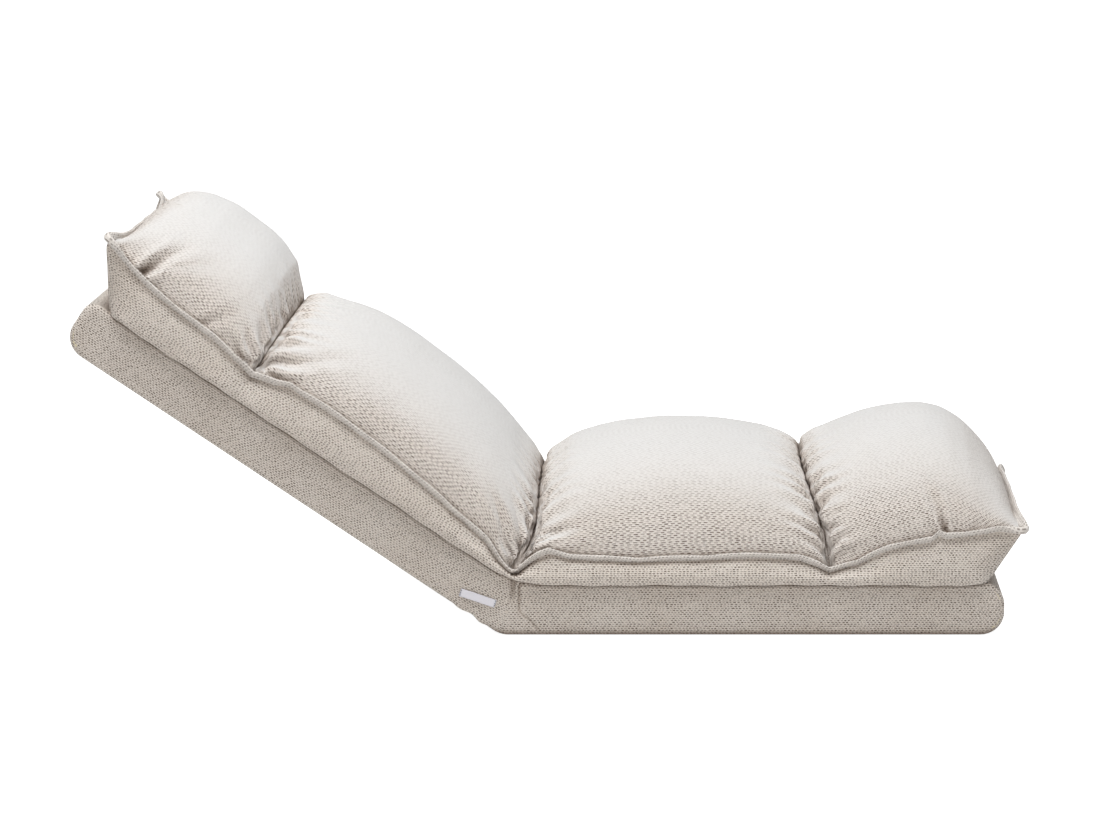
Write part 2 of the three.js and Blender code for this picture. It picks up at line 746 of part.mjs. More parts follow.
function buildSeat() {
  const lobeFace = halfWidth - clothThickness - fitGap;
  const cover = baseCover(seatLength, lobeFace, cheekNeckHalfHeight).add(foldSkirt());
  place(seat, "seat_cover", cover, cloth);
  place(seat, "seat_under_cloth", underCloth(seatLength), backing);
  const bedStart = seatTubeStart - fitGap;
  const slab = (upper) => foamSlab(seatLength, upper, bedStart, cheekNeckHalfHeight, seatPlateEnd);
  place(seat, "seat_foam_upper", slab(true), foam);
  place(seat, "seat_foam_lower", slab(false), foam);
  const [rearBar, frontBar] = crossBarPlaces(seatLength);
  let frame = frameTube(seatTubeStart, seatLength - frameEndInset);
  for (const side of sides) {
    frame = drilled(frame, side.y * armSide, seatRivetPlaces.map((x) => ({ x, pin: rivetRadius })));
  }
  place(seat, "seat_frame", frame, paintedSteel);
  place(seat, "seat_crossbar_rear", crossBar(rearBar), paintedSteel);
  place(seat, "seat_crossbar_front", crossBar(frontBar), paintedSteel);
}

function buildBack() {
  const cover = baseCover(backLength, halfWidth, cheekNeckHalfHeight);
  place(backPanel, "back_cover", cover, cloth);
  place(backPanel, "back_under_cloth", underCloth(backLength), backing);
  const bedStart = backTubeStart - fitGap;
  const slab = (upper) => foamSlab(backLength, upper, bedStart, ratchetStrapHalfHeight, backPlateEnd);
  place(backPanel, "back_foam_upper", slab(true), foam);
  place(backPanel, "back_foam_lower", slab(false), foam);
  const [lowerBar, upperBar] = crossBarPlaces(backLength);
  let frame = frameTube(backTubeStart, backLength - frameEndInset);
  const slotHalf = ratchetThickness / 2 + fitGap;
  const slotEnd = backPlateEnd + fitGap;
  const slotHeight = ratchetStrapHalfHeight + fitGap;
  for (const side of sides) {
    const y = side.y * armSide;
    frame = frame.subtract(blockBetween(0, slotEnd, y - slotHalf, y + slotHalf, -slotHeight, slotHeight));
    frame = drilled(frame, y, backRivetPlaces.map((x) => ({ x, pin: rivetRadius })));
  }
  place(backPanel, "back_frame", frame, paintedSteel);
  place(backPanel, "back_crossbar_lower", crossBar(lowerBar), paintedSteel);
  place(backPanel, "back_crossbar_upper", crossBar(upperBar), paintedSteel);
}

function buildHinges() {
  for (const side of sides) {
    const y = side.y * armSide;
    place(seat, `hinge_outer_plate_${side.name}`, cheekPlate(y + side.y * cheekOffset), zincSteel);
    place(seat, `hinge_inner_plate_${side.name}`, cheekPlate(y - side.y * cheekOffset), zincSteel);
    place(backPanel, `hinge_ratchet_${side.name}`, ratchetPlate(-y), zincSteel);
    const gripHalf = cheekOffset + plateThickness / 2;
    const pivot = rivet(pivotRadius, pivotHeadRadius, gripHalf);
    place(seat, `hinge_pivot_${side.name}`, pivot, zincSteel).position.y = y;
    const pin = rivet(pawlPinRadius, pawlPinHeadRadius, gripHalf);
    place(seat, `pawl_pin_${side.name}`, pin, zincSteel).position.set(pawlPinX, y, pawlPinZ);
    const lifted = THREE.MathUtils.degToRad(pawlSlopeDegrees + pawlLiftDegrees);
    const pawl = place(seat, `pawl_${side.name}`, pawlPlate(side.y), zincSteel);
    const spring = place(seat, `pawl_spring_${side.name}`, pawlSpring(side.y), zincSteel);
    for (const piece of [pawl, spring]) {
      piece.position.set(pawlPinX, y, pawlPinZ);
      piece.rotation.y = quarterTurn - lifted;
    }
    seatRivetPlaces.forEach((x, index) => {
      const name = `seat_arm_rivet_${side.name}_${index + 1}`;
      place(seat, name, rivet(rivetRadius, rivetHeadRadius, gripHalf), zincSteel).position.set(x, y, 0);
    });
    backRivetPlaces.forEach((x, index) => {
      const name = `back_arm_rivet_${side.name}_${index + 1}`;
      const armRivet = rivet(rivetRadius, rivetHeadRadius, tubeRadius);
      place(backPanel, name, armRivet, zincSteel).position.set(x, -y, 0);
    });
  }
}

function buildTopper() {
  place(seat, "seat_cushion", stuffedChamber(chambers.seat), cloth);
  place(seat, "leg_cushion", stuffedChamber(chambers.leg), cloth);
  place(backPanel, "back_cushion", stuffedChamber(chambers.back), cloth);
  place(backPanel, "head_pillow", stuffedChamber(chambers.head), cloth);
}

// Blank label sewn on the right side of the back base, near the fold.
function buildLabel() {
  const y = halfWidth + fitGap;
  const halfLength = labelLength / 2;
  const halfHeight = labelHeight / 2;
  const ribbon = blockBetween(-halfLength, halfLength, y, y + labelThickness, -halfHeight, halfHeight);
  const label = place(backPanel, "side_label", ribbon, labelCloth);
  label.position.set(labelFromHinge, 0, labelAboveMiddle);
  label.rotation.y = THREE.MathUtils.degToRad(labelTiltDegrees);
}

buildSeat();
buildBack();
buildHinges();
buildTopper();
buildLabel();

export default chair;
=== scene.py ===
# %% [markdown]
# # A folding floor chair, upholstered
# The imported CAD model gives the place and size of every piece: two boxed bases joined by a ratchet
# hinge, and a stuffed topper in four chambers. This lesson dresses it: the cloth covers, the stuffed
# topper with its seams and puckers, and the finishes of the metal and foam inside. Lengths are in metres.

# %% Load the model
import math

import bpy
import numpy as np
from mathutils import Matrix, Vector


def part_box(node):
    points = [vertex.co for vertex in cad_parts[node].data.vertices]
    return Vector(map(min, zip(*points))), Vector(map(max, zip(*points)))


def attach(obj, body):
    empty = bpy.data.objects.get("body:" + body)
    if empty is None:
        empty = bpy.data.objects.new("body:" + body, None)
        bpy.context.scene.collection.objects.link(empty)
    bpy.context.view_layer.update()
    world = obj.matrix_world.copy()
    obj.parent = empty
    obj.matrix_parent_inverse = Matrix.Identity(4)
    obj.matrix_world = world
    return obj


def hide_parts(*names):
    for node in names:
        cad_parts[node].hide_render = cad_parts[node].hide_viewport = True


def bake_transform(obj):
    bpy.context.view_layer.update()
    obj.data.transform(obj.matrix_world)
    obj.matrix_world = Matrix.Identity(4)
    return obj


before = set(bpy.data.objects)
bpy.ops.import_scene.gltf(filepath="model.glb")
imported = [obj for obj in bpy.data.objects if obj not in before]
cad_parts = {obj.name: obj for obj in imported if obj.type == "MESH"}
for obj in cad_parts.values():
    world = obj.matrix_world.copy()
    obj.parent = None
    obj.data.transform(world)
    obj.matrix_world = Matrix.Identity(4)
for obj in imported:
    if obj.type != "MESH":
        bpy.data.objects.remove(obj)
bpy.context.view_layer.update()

# %% [markdown]
# ## Two panels and their hinge
# Everything on the chair is easier to draw lying flat along its own base: u runs from the hinge axis to
# the outer end, w is the height above the middle of the base, and y is across. One function then puts a
# point on the level seat or on the raised back.

# %% Panels
hinge_x, hinge_z = -0.426, 0.046
raised = math.radians(34.2)
seat_length, back_length = 0.852, 0.884
half_width, half_thickness = 0.295, 0.046
base_top = half_thickness + 0.0003
rng = np.random.default_rng(20)


def on_panel(panel, u, y, w):
    u, y, w = np.broadcast_arrays(u, y, w)
    if panel == "seat":
        return np.stack([hinge_x + u, y, hinge_z + w], -1)
    cos, sin = math.cos(raised), math.sin(raised)
    return np.stack([hinge_x - u * cos + w * sin, y, hinge_z + u * sin + w * cos], -1)


print("head end of the back base", on_panel("back", back_length, 0.0, 0.0).round(3))

# %% [markdown]
# ## Camera
# The photograph is a long-lens side view from a little above the chair. The camera is placed so that the
# near edges of both bases run where they do in the photograph, whose frame is 1100 by 824.

# %% Camera
camera_data = bpy.data.cameras.new("camera")
camera_data.lens = 134.15
camera_data.sensor_width = 36.0
camera_data.shift_x = -0.151
camera_data.clip_end = 50.0
camera = bpy.data.objects.new("camera", camera_data)
camera.location = (-0.069, -7.186, 1.4663)
camera.rotation_euler = (math.radians(90 - 8.887), 0, 0)
bpy.context.scene.collection.objects.link(camera)
bpy.context.scene.camera = camera
print("camera", tuple(camera.location))

# %% [markdown]
# ## Chambers of the topper
# The topper is one long bag of cloth over four stuffed chambers. Each is drawn by rules: along the chair
# its crown follows a table of heights, across the chair it is a superellipse, the side seam bends down
# towards each sewn channel, and the outer corners are pulled out to points.

# %% Chamber sizes
flange_half, flange_width = 0.300, 0.009
channel_pinch = 0.012
roundness = 0.95  # of the crown across: 1 is an ellipse, less is boxier
fold_slope = math.tan(raised / 2)
leg_lean = math.tan(math.radians(23))
# Where the seat and back chambers meet, as (u, w) on the seat's panel: level with the split angle low down,
# pushed over the seat beside the seams, and back over the fold at the crown.
meeting = np.array([(-0.010, -0.0325), (0.0141, 0.046), (0.0220, 0.080), (0.0330, 0.100), (0.0430, 0.118),
                    (0.0480, 0.140), (0.0490, 0.180), (0.0480, 0.217), (0.0480, 0.270)])
meeting_on_back = np.stack([meeting[:, 1] * math.sin(raised) - meeting[:, 0] * math.cos(raised),
                            meeting[:, 0] * math.sin(raised) + meeting[:, 1] * math.cos(raised)], -1)


def seat_fold(w, flange):
    return np.interp(w, meeting[:, 1], meeting[:, 0])


def back_fold(w, flange):
    return np.interp(w, meeting_on_back[:, 1], meeting_on_back[:, 0])


def leg_plane(w, flange):
    # Upright beside the seam, then leaning back towards the fold.
    above = w - 0.116
    return 0.552 - leg_lean * (above + np.sqrt(above ** 2 + 0.03 ** 2)) / 2


def head_plane(w, flange):
    return 0.586 + 0 * w


def sloping_end(bottom_end, flange_end):
    def plane(w, flange):
        climb = np.clip((w - half_thickness) / (flange - half_thickness), 0, 1)
        return bottom_end + (flange_end - bottom_end) * climb
    return plane


foot_end = sloping_end(seat_length - 0.026, seat_length + 0.018)
head_end = sloping_end(back_length - 0.036, back_length + 0.005)
print("foot end of the leg chamber", round(float(foot_end(0.1, 0.1)), 3), "m from the hinge")

# %% [markdown]
# ## Crowns of the chambers
# Stuffing lifts a chamber steeply beside a sewn channel, where the cloth is held down, and then in a long
# slow curve. A table of heights, smoothed, follows that more closely than one formula for all four would.

# %% Crowns and seams
# Height of each chamber's crown above its base, from its inner channel (share 0) to its other end (share 1).
crowns = {
    "head": ((0, 0.138), (0.164, 0.206), (0.289, 0.226), (0.389, 0.233), (0.561, 0.236), (0.644, 0.236),
             (0.788, 0.225), (0.912, 0.203), (0.955, 0.187), (0.982, 0.155), (1, 0.106)),
    "back": ((0, 0.141), (0.052, 0.165), (0.142, 0.191), (0.188, 0.201), (0.292, 0.214), (0.394, 0.222),
             (0.580, 0.227), (0.667, 0.225), (0.749, 0.220), (0.823, 0.209), (0.895, 0.195), (0.950, 0.184),
             (0.975, 0.170), (1, 0.149)),
    "seat": ((0, 0.146), (0.031, 0.178), (0.112, 0.209), (0.153, 0.218), (0.237, 0.231), (0.321, 0.240),
             (0.490, 0.249), (0.655, 0.247), (0.735, 0.243), (0.812, 0.236), (0.888, 0.227), (0.953, 0.210),
             (0.983, 0.195), (1, 0.177)),
    "leg": ((0, 0.178), (0.031, 0.198), (0.102, 0.218), (0.200, 0.234), (0.253, 0.243), (0.353, 0.258),
            (0.448, 0.267), (0.538, 0.272), (0.627, 0.273), (0.712, 0.265), (0.796, 0.243), (0.883, 0.204),
            (0.929, 0.180), (0.965, 0.153), (1, 0.112))}
# planes bound a chamber along the chair; puff is what the stuffing adds to the drawn crown; flanges are the
# heights of the side seam at the first end, the middle and the last end; ear is a corner's reach and rise.
chambers = {
    "head": dict(panel="back", planes=(head_plane, head_end), puff=0.011,
                 flanges=(0.039, 0.066, 0.092), open=True, ear=(0.022, 0.014)),
    "back": dict(panel="back", planes=(back_fold, head_plane), puff=0.015,
                 flanges=(0.022, 0.060, 0.039), open=False, ear=(0, 0)),
    "seat": dict(panel="seat", planes=(seat_fold, leg_plane), puff=0.011,
                 flanges=(0.022, 0.046, 0.024), open=False, ear=(0, 0)),
    "leg": dict(panel="seat", planes=(leg_plane, foot_end), puff=0.010,
                flanges=(0.024, 0.060, 0.088), open=True, ear=(0.012, 0.003)),
}
window = np.hanning(13)
for name, chamber in chambers.items():
    shares = np.linspace(-0.06, 1.06, 281)
    heights = np.pad(np.interp(shares, *np.transpose(crowns[name])), 5, mode="edge")
    heights = np.convolve(heights, window[1:-1] / window.sum(), mode="valid")
    chamber["crown"] = (shares, heights - chamber["puff"] * np.sin(np.pi * np.clip(shares, 0, 1)) ** 0.6)
print("crown tables of", ", ".join(chambers))

# %% [markdown]
# ## Points on a chamber
# Two functions turn the tables into cloth: one gives the heights and the half width at a share of the
# chamber's length, the other a point on the superellipse over them.

# %% Points on a chamber
def station(chamber, share):
    """Heights and half width of a chamber at a share of its length, before it is stuffed."""
    from_middle = 2 * share - 1
    crest = base_top + np.interp(share, *chamber["crown"])
    first, middle, last = chamber["flanges"]
    end = np.where(from_middle < 0, first, last)
    opened = np.maximum(0, from_middle) ** 12 * chamber["open"]
    flange = base_top + middle + (end - middle) * np.abs(from_middle) ** 2.6
    pinched = np.abs(from_middle) ** 8 * (1 - (from_middle > 0) * chamber["open"])
    root = flange_half - flange_width - channel_pinch * pinched + chamber["ear"][0] / 2 * opened
    return crest, flange, root, opened


def crown_point(chamber, share, turn):
    """Points (u, y, w) of a chamber's top cloth; turn runs from 0 at one side seam to pi at the other."""
    crest, flange, root, opened = station(chamber, share)
    y = root * np.sign(np.cos(turn)) * np.abs(np.cos(turn)) ** roundness
    w = flange + (crest - flange) * np.abs(np.sin(turn)) ** roundness
    start, stop = (plane(w, flange) for plane in chamber["planes"])
    reach, rise = chamber["ear"]
    corner = opened * np.abs(y / flange_half) ** 6
    return start + (stop - start) * share + reach * corner, y, w + rise * corner * (1 + 0.8 * (y > 0))


print({name: round(float(c["crown"][1].max()), 3) for name, c in chambers.items()})

# %% [markdown]
# ## Top cloth as a grid
# Real top cloth is one woven panel, so it is laid out as an even grid of 7 mm cells, row by row from the
# head end to the foot end. Even cells matter twice: the cloth solver bends them all alike, and the weave,
# which follows the grid, keeps its size. At each sewn channel a few rows fall straight down between the
# two chambers, so that the stitched line lies deep in a closed crease.

# %% Cells and seam lines
cell = 0.007
columns = 108
seam_depth = 0.036
slot, slot_rows = 0.006, 3  # share of a chamber over which its wall at a channel falls, and the rows down it
# Where the side seam wanders off its drawn line: (along, rise) pairs, side -1 near and 1 far.
seam_shifts = {
    ("back", -1): [(0.0, -0.020), (0.03, -0.020), (0.06, -0.019), (0.10, -0.011), (0.176, -0.013),
                   (0.304, -0.001), (0.42, 0.009), (0.50, 0.014), (0.525, 0.017), (0.545, 0.010),
                   (0.58, 0.007), (0.63, -0.001), (0.70, -0.002), (0.77, 0.002), (0.84, 0.005),
                   (0.90, 0.002)],
    ("seat", -1): [(0.0, -0.013), (0.014, -0.006), (0.030, 0.008), (0.052, 0.019), (0.070, 0.022),
                   (0.088, 0.014), (0.106, 0.006), (0.15, -0.002), (0.224, -0.009), (0.342, -0.005),
                   (0.44, 0.004), (0.50, 0.008), (0.53, 0.002), (0.56, -0.008), (0.60, -0.014), (0.65, 0.000),
                   (0.70, 0.009), (0.728, 0.013), (0.738, 0.023), (0.750, 0.018), (0.80, 0.018),
                   (0.84, 0.015), (0.88, 0.0)],
    ("back", 1): [(0.0, 0.0), (0.12, -0.006), (0.36, 0.004), (0.53, 0.008), (0.60, 0.0), (0.78, 0.004),
                  (0.84, 0.016), (0.90, 0.020)],
    ("seat", 1): [(0.0, 0.0), (0.05, 0.008), (0.10, 0.0), (0.40, 0.003), (0.56, -0.006), (0.69, 0.008),
                  (0.75, 0.002), (0.80, -0.004), (0.88, -0.012)]}

print("seam tables for", ", ".join("%s %d" % key for key in seam_shifts))

# %% [markdown]
# ## Even rows
# Each row is first drawn finely on its chamber and then stepped off evenly along the cloth, as with a
# tape measure. The rows themselves are spaced the same way, so every cell comes out nearly square.

# %% Lay out the rows
def lengths(points):
    steps = np.linalg.norm(np.diff(points, axis=0), axis=1)
    return np.concatenate([[0], np.cumsum(steps)])


def even_shares(chamber):
    """Shares of a chamber's length at which its rows lie, a cell apart, and closer down each slot's wall."""
    fine = (1 - np.cos(np.linspace(0, np.pi, 801))) / 2
    middle = lengths(np.stack(crown_point(chamber, fine, np.pi / 2 + 0 * fine), -1))
    edge = lengths(np.stack(crown_point(chamber, fine, 0 * fine), -1))
    along = 0.7 * middle + 0.3 * edge
    rims = (slot, 1.0 if chamber["open"] else 1 - slot)
    first, last = np.interp(rims, fine, along)
    even = np.interp(np.linspace(first, last, round((last - first) / cell) + 1), along, fine)
    wall = slot * np.arange(slot_rows) / slot_rows
    return np.concatenate([wall, even, [] if chamber["open"] else 1 - wall[::-1]])


def even_row(chamber, share):
    """One row of the top cloth, evenly spaced from side seam to side seam."""
    fine = np.linspace(0, np.pi, 721)
    points = np.stack(crown_point(chamber, share + 0 * fine, fine), -1)
    crest, flange, root = station(chamber, share)[:3]
    sunk = max(0, 1 - share / slot, (1 - (1 - share) / slot) * (not chamber["open"]))
    climb = np.clip((points[:, 2] - flange) / (crest - flange), 0, 1)
    points[:, 2] -= seam_depth * sunk * climb
    pinched = max(flange_half - flange_width - root, 0)
    points[:, 1] += np.sign(points[:, 1]) * 0.8 * pinched * np.exp(-(climb / 0.12) ** 2)
    for side in (-1, 1):
        shift = np.interp(points[:, 0], *np.transpose(seam_shifts[chamber["panel"], side]))
        points[:, 2] += shift * (1 - climb) ** 3 * (points[:, 1] * side > 0)
    along = lengths(points)
    even = np.linspace(0, along[-1], columns + 1)
    return np.stack([np.interp(even, along, points[:, axis]) for axis in range(3)], -1)


row_list = []  # (chamber name, share)
for name in ("head", "back"):
    shares = even_shares(chambers[name])[::-1]
    row_list += [(name, share) for share in (shares if name == "head" else shares[1:])]
fold_row = len(row_list) - 1
for name in ("seat", "leg"):
    row_list += [(name, share) for share in even_shares(chambers[name])[1:]]
head_row = next(i for i, (name, share) in enumerate(row_list) if name == "head" and share == 0)
leg_row = next(i for i, (name, share) in enumerate(row_list) if name == "leg") - 1
row_names = [name for name, share in row_list]
local = np.array([even_row(chambers[name], share) for name, share in row_list])
rows = len(row_list)
print("grid", rows, "rows by", columns + 1, "points; channels at rows", head_row, fold_row, leg_row)

# %% [markdown]
# ## Sides of the topper
# Below the side seam a narrow gusset runs down to the base on all four sides. It is drawn in under the
# seam, full below, and tucks under at its foot, which leaves the dark gap that the eye reads as one
# cushion lying on another. On the long sides its last row hangs inside the base, out of sight, so that no
# daylight shows between the two when the chair is laid flat.

# %% Gusset rows
free_shares = [0.14, 0.30, 0.47, 0.65, 0.83, 1.0]  # from the seam down to where the bottom roll starts
# Rows of the bottom roll: half width, and height above the base.
roll = [(0.3085, 0.0060), (0.3075, 0.0002), (0.3035, -0.0028), (0.2975, -0.0012), (0.2885, 0.0022),
        (0.2720, -0.0090)]
roll_top, roll_face = 0.013, 0.3070
gusset_rows = len(free_shares) + len(roll)
last_row = gusset_rows - 1


def loop_of(rows, columns):
    """The side seam as (row, column) pairs: far side, foot end, near side, head end."""
    return ([(r, 0) for r in range(rows)] + [(rows - 1, c) for c in range(1, columns + 1)]
            + [(r, columns) for r in range(rows - 2, -1, -1)] + [(0, c) for c in range(columns - 1, 0, -1)])


def gusset_line(seam_y, seam_height):
    """Half width and height above the base of each gusset row, below a seam at the given place."""
    start = min(roll_top, 0.45 * seam_height)
    line = []
    for s in free_shares:
        full = 0.0022 * math.sin(math.pi * s) - 0.0030 * math.exp(-((s - 0.14) / 0.10) ** 2)
        out = seam_y + (roll_face - seam_y) * s ** 1.3 + full
        line.append((out, start + (seam_height - start) * (1 - s)))
    return line + [(y, min(h, start)) for y, h in roll]


def gusset_column(r, c):
    """Points (u, y, w) of the gusset below one point of the side seam, from the top down."""
    name, share = row_list[r]
    chamber = chambers[name]
    u, y, w = local[r, c]
    flange, root, opened = station(chamber, share)[1:]
    across, side, on_long_side = y / root, np.sign(y), c in (0, columns)
    pinched = max(flange_half - flange_width - root, 0)
    at_fold = 0.009 * math.exp(-(u / 0.040) ** 2)  # the bag lifts off the bases where they bend
    wander = 0.0012 * math.sin(u / 0.031 + side) + 0.0010 * math.sin(u / 0.0117 + 2 * side)
    line = gusset_line(abs(y) if abs(across) > 0.9 else root, w - base_top - at_fold)
    points = []
    for k, (out, height) in enumerate(line):
        height += at_fold * (1 - max(0, k - (last_row - 3)) / 3)
        down = 1 - max(height, 0) / max(w - base_top, 0.012)
        straight = side * (root + (roll[-1][0] - root) * down) * abs(across)
        rolled = max(0, k - 3) / 4 if k < last_row - 3 else (last_row - k) / 4
        low = base_top + height + wander * rolled
        if not on_long_side:
            low = max(low, base_top)
        start, stop = (plane(max(low, base_top), flange) for plane in chamber["planes"])
        corner = chamber["ear"][0] * opened * abs(y / flange_half) ** 6 * (1 - down)
        along = start + (stop - start) * share + corner
        if on_long_side:
            sideways = side * (out - 0.5 * pinched + wander * 0.7 * rolled)
            points.append((along, straight + (sideways - straight) * (1 - opened), low))
        else:
            tucked = 0.5 * max(out - roll[-1][0], 0) * max(0, k - 5) / 6
            bow = 0.010 * math.sin(math.pi * min(down, 1) ** 1.6) + tucked
            points.append((along + bow * (1 - abs(across) ** 4), straight, low))
    return points


print("gusset of", gusset_rows, "rows")

# %% [markdown]
# ## Onto the raised back
# So far every point lies flat on its own base. Here the two halves are put in place, and the rows near
# the fold are averaged with their neighbours, because one bag of cloth bends in a curve, not in a kink.

# %% Place the top and the gusset
def to_world(points, panel_names):
    """Local points (u, y, w) to the chair's own frame, each on its panel."""
    on_seat = np.array([name in ("seat", "leg") for name in panel_names])
    shape = (-1,) + (1,) * (points.ndim - 2)
    places = np.moveaxis(points, -1, 0)
    return np.where(on_seat.reshape(shape)[..., None], on_panel("seat", *places), on_panel("back", *places))


loop = loop_of(rows, columns)
ring = len(loop)
gusset = np.array([gusset_column(r, c) for r, c in loop])
top = to_world(local, row_names)
sides = to_world(gusset, [row_names[r] for r, c in loop])


def eased(grid, row, reach, weight):
    """Grid with its rows near one row averaged along the chair, by the given weight per point."""
    offsets = np.arange(-reach, reach + 1)
    bell = np.exp(-(offsets / (0.6 * reach)) ** 2)
    near = np.clip(np.arange(len(grid))[:, None] + offsets, 0, len(grid) - 1)
    average = np.tensordot(bell / bell.sum(), grid[near], (0, 1))
    close = np.exp(-((np.arange(len(grid)) - row) / (0.8 * reach)) ** 2)
    share = (close[:, None] * weight)[..., None]
    return grid * (1 - share) + average * share


def from_edge(columns):
    """How many steps each column is from the nearer side seam."""
    across = np.arange(columns + 1)
    return np.minimum(across, columns - across)


# At the fold the seam and the gusset below it run on in one soft dip.
top = eased(top, fold_row, 9, np.exp(-(from_edge(columns) / 9) ** 2))
near_side = slice(rows + columns - 1, 2 * rows + columns - 1)
sides[:rows] = eased(sides[:rows], fold_row, 9, np.ones(gusset_rows))
sides[near_side] = eased(sides[near_side], rows - 1 - fold_row, 9, np.ones(gusset_rows))
print("placed", top.shape[:2], "points of the top and", sides.shape[:2], "of the gusset")

# %% [markdown]
# ## Faces of the bag
# Top and gusset share the points of the side seam, so the bag is one surface, open only underneath.

# %% Join the points
def grid_faces(rows, columns, index):
    """Four-sided faces of a grid of points, numbered by index(row, column)."""
    return [[index(r, c), index(r, c + 1), index(r + 1, c + 1), index(r + 1, c)]
            for r in range(rows - 1) for c in range(columns)]


def shell_faces(rows, columns, gusset_rows):
    """Faces of the top grid and of the gusset rings below its edge, all facing out."""
    loop = loop_of(rows, columns)
    ring, first = len(loop), rows * (columns + 1)
    rings = [[r * (columns + 1) + c for r, c in loop]]
    rings += [[first + i * gusset_rows + k for i in range(ring)] for k in range(gusset_rows)]
    faces = grid_faces(rows, columns, lambda r, c: r * (columns + 1) + c)
    for upper, lower in zip(rings, rings[1:]):
        faces += [[upper[i], upper[(i + 1) % ring], lower[(i + 1) % ring], lower[i]] for i in range(ring)]
    return faces, rings


faces, rings = shell_faces(rows, columns, gusset_rows)
print("topper shell", top.size // 3 + sides.size // 3, "points,", len(faces), "faces")

# %% [markdown]
# ## Slack for the puckers
# Where a puffed panel is gathered into a straight seam, the spare cloth stands in small folds that start
# at the seam and die out on the crown. Shallow folds are pressed into the grid before the cloth is run,
# so that the solver has spare length to billow and buckle with.

# %% Press in the slack
def cloth_places(grid, channels, wall_rows):
    """Distance along the chair (one per row, slot walls left out) and across it, measured on the cloth."""
    middle = grid.shape[1] // 2
    steps = np.linalg.norm(np.diff(grid[:, middle], axis=0), axis=1)
    for channel in channels:
        steps[channel - wall_rows:channel + wall_rows] = 0.0005
    along = np.concatenate([[0], np.cumsum(steps)])
    steps = np.linalg.norm(np.diff(grid, axis=1), axis=-1)
    across = np.concatenate([np.zeros((len(grid), 1)), np.cumsum(steps, axis=1)], axis=1)
    return along, across - across[:, middle:middle + 1]


def normals_of(grid):
    outward = np.cross(np.gradient(grid, axis=1), np.gradient(grid, axis=0))
    return outward / np.maximum(np.linalg.norm(outward, axis=-1, keepdims=True), 1e-9)


circle = 6.28  # two pi, near enough for waves
slack_height, slack_pitch, slack_reach = 0.0045, 0.036, 0.060
channels = (head_row, leg_row, fold_row)
along, across = cloth_places(top, channels, slot_rows)
slack = np.zeros((rows, columns + 1))
spare = np.zeros((rows, columns + 1))  # where the cloth is gathered and so may grow
for at_row in channels:
    for towards in (-1, 1):
        away = (along[:, None] - along[at_row]) * towards
        fade = np.where(away >= 0, np.exp(-(np.maximum(away, 0) / slack_reach) ** 2), 0)
        fade = fade * np.clip(away / 0.012, 0, 1)
        wave = rng.uniform(0, circle) + across / slack_pitch * circle + 1.3 * np.sin(across / 0.11 * circle)
        slack += slack_height * fade * np.sin(wave)
        spare = np.maximum(spare, fade)
rim = np.clip(from_edge(columns) / 3, 0, 1)
spare = np.maximum(spare, 0.5 * np.clip(1 - from_edge(columns) / 12, 0, 1))
pressed = top + normals_of(top) * (slack * rim)[..., None]
print("slack folds up to", round(slack.max() * 1000, 1), "mm")

# %% [markdown]
# ## Stuffing the topper
# Blender's Cloth with pressure inflates the bag. The side seam, the foot of the gusset and the channels
# are held, gravity is off, and the cloth may grow a little, so it billows between its seams and keeps
# the folds. How far a point may move is capped, so the chair keeps its measured outline.

# %% Run the cloth
def stuffed(points, faces, held, spare, pressure, grow, frames, cap):
    """Points of the bag after the cloth solver has blown it up, none moved by more than about its cap."""
    mesh = bpy.data.meshes.new("sewn_bag")
    mesh.from_pydata(points.tolist(), [], faces)
    bag = bpy.data.objects.new("sewn_bag", mesh)
    bpy.context.scene.collection.objects.link(bag)
    bag.vertex_groups.new(name="held").add(held, 1.0, "REPLACE")
    gathered = bag.vertex_groups.new(name="gathered")
    for i, share in enumerate(spare):
        gathered.add([i], share, "REPLACE")
    cloth = bag.modifiers.new("stuffing", "CLOTH")
    for key, value in dict(quality=4, mass=0.15, tension_stiffness=25, compression_stiffness=25,
                           shear_stiffness=8, bending_stiffness=0.5, vertex_group_mass="held",
                           vertex_group_shrink="gathered", shrink_max=-grow, use_pressure=True,
                           uniform_pressure_force=pressure).items():
        setattr(cloth.settings, key, value)
    cloth.settings.effector_weights.gravity = 0
    cloth.collision_settings.use_collision = False
    cloth.point_cache.frame_start, cloth.point_cache.frame_end = 1, frames
    for frame_number in range(1, frames + 1):
        bpy.context.scene.frame_set(frame_number)
    puffed = bag.evaluated_get(bpy.context.evaluated_depsgraph_get()).data
    moved = np.zeros(len(points) * 3, np.float32)
    puffed.vertices.foreach_get("co", moved)
    bpy.data.objects.remove(bag, do_unlink=True)
    bpy.data.meshes.remove(mesh)
    bpy.context.scene.frame_set(1)
    step = moved.reshape(-1, 3) - points
    size = np.linalg.norm(step, axis=1, keepdims=True)
    print("cloth moved", (size.mean() * 1000).round(1), "mm on average and",
          (size.max() * 1000).round(1), "mm at most")
    return points + step * cap * np.tanh(size / cap) / np.maximum(size, 1e-9)


held = set(rings[0]).union(*rings[-5:])
for channel in channels:
    held |= set(range((channel - slot_rows) * (columns + 1), (channel + slot_rows + 1) * (columns + 1)))
shell = np.concatenate([pressed.reshape(-1, 3), sides.reshape(-1, 3)])
on_top = np.arange(len(shell)) < top.size // 3
spare = np.concatenate([spare.ravel(), np.full(sides.size // 3, 0.3)])
cap = np.where(on_top, 0.018, 0.005)[:, None]  # how far the top and the gusset may move
shell = stuffed(shell, faces, sorted(held), spare, pressure=4.0, grow=0.035, frames=20, cap=cap)
top = shell[:top.size // 3].reshape(top.shape)
sides = shell[top.size // 3:].reshape(sides.shape)
print("cloth held at", len(held), "of", len(shell), "points")

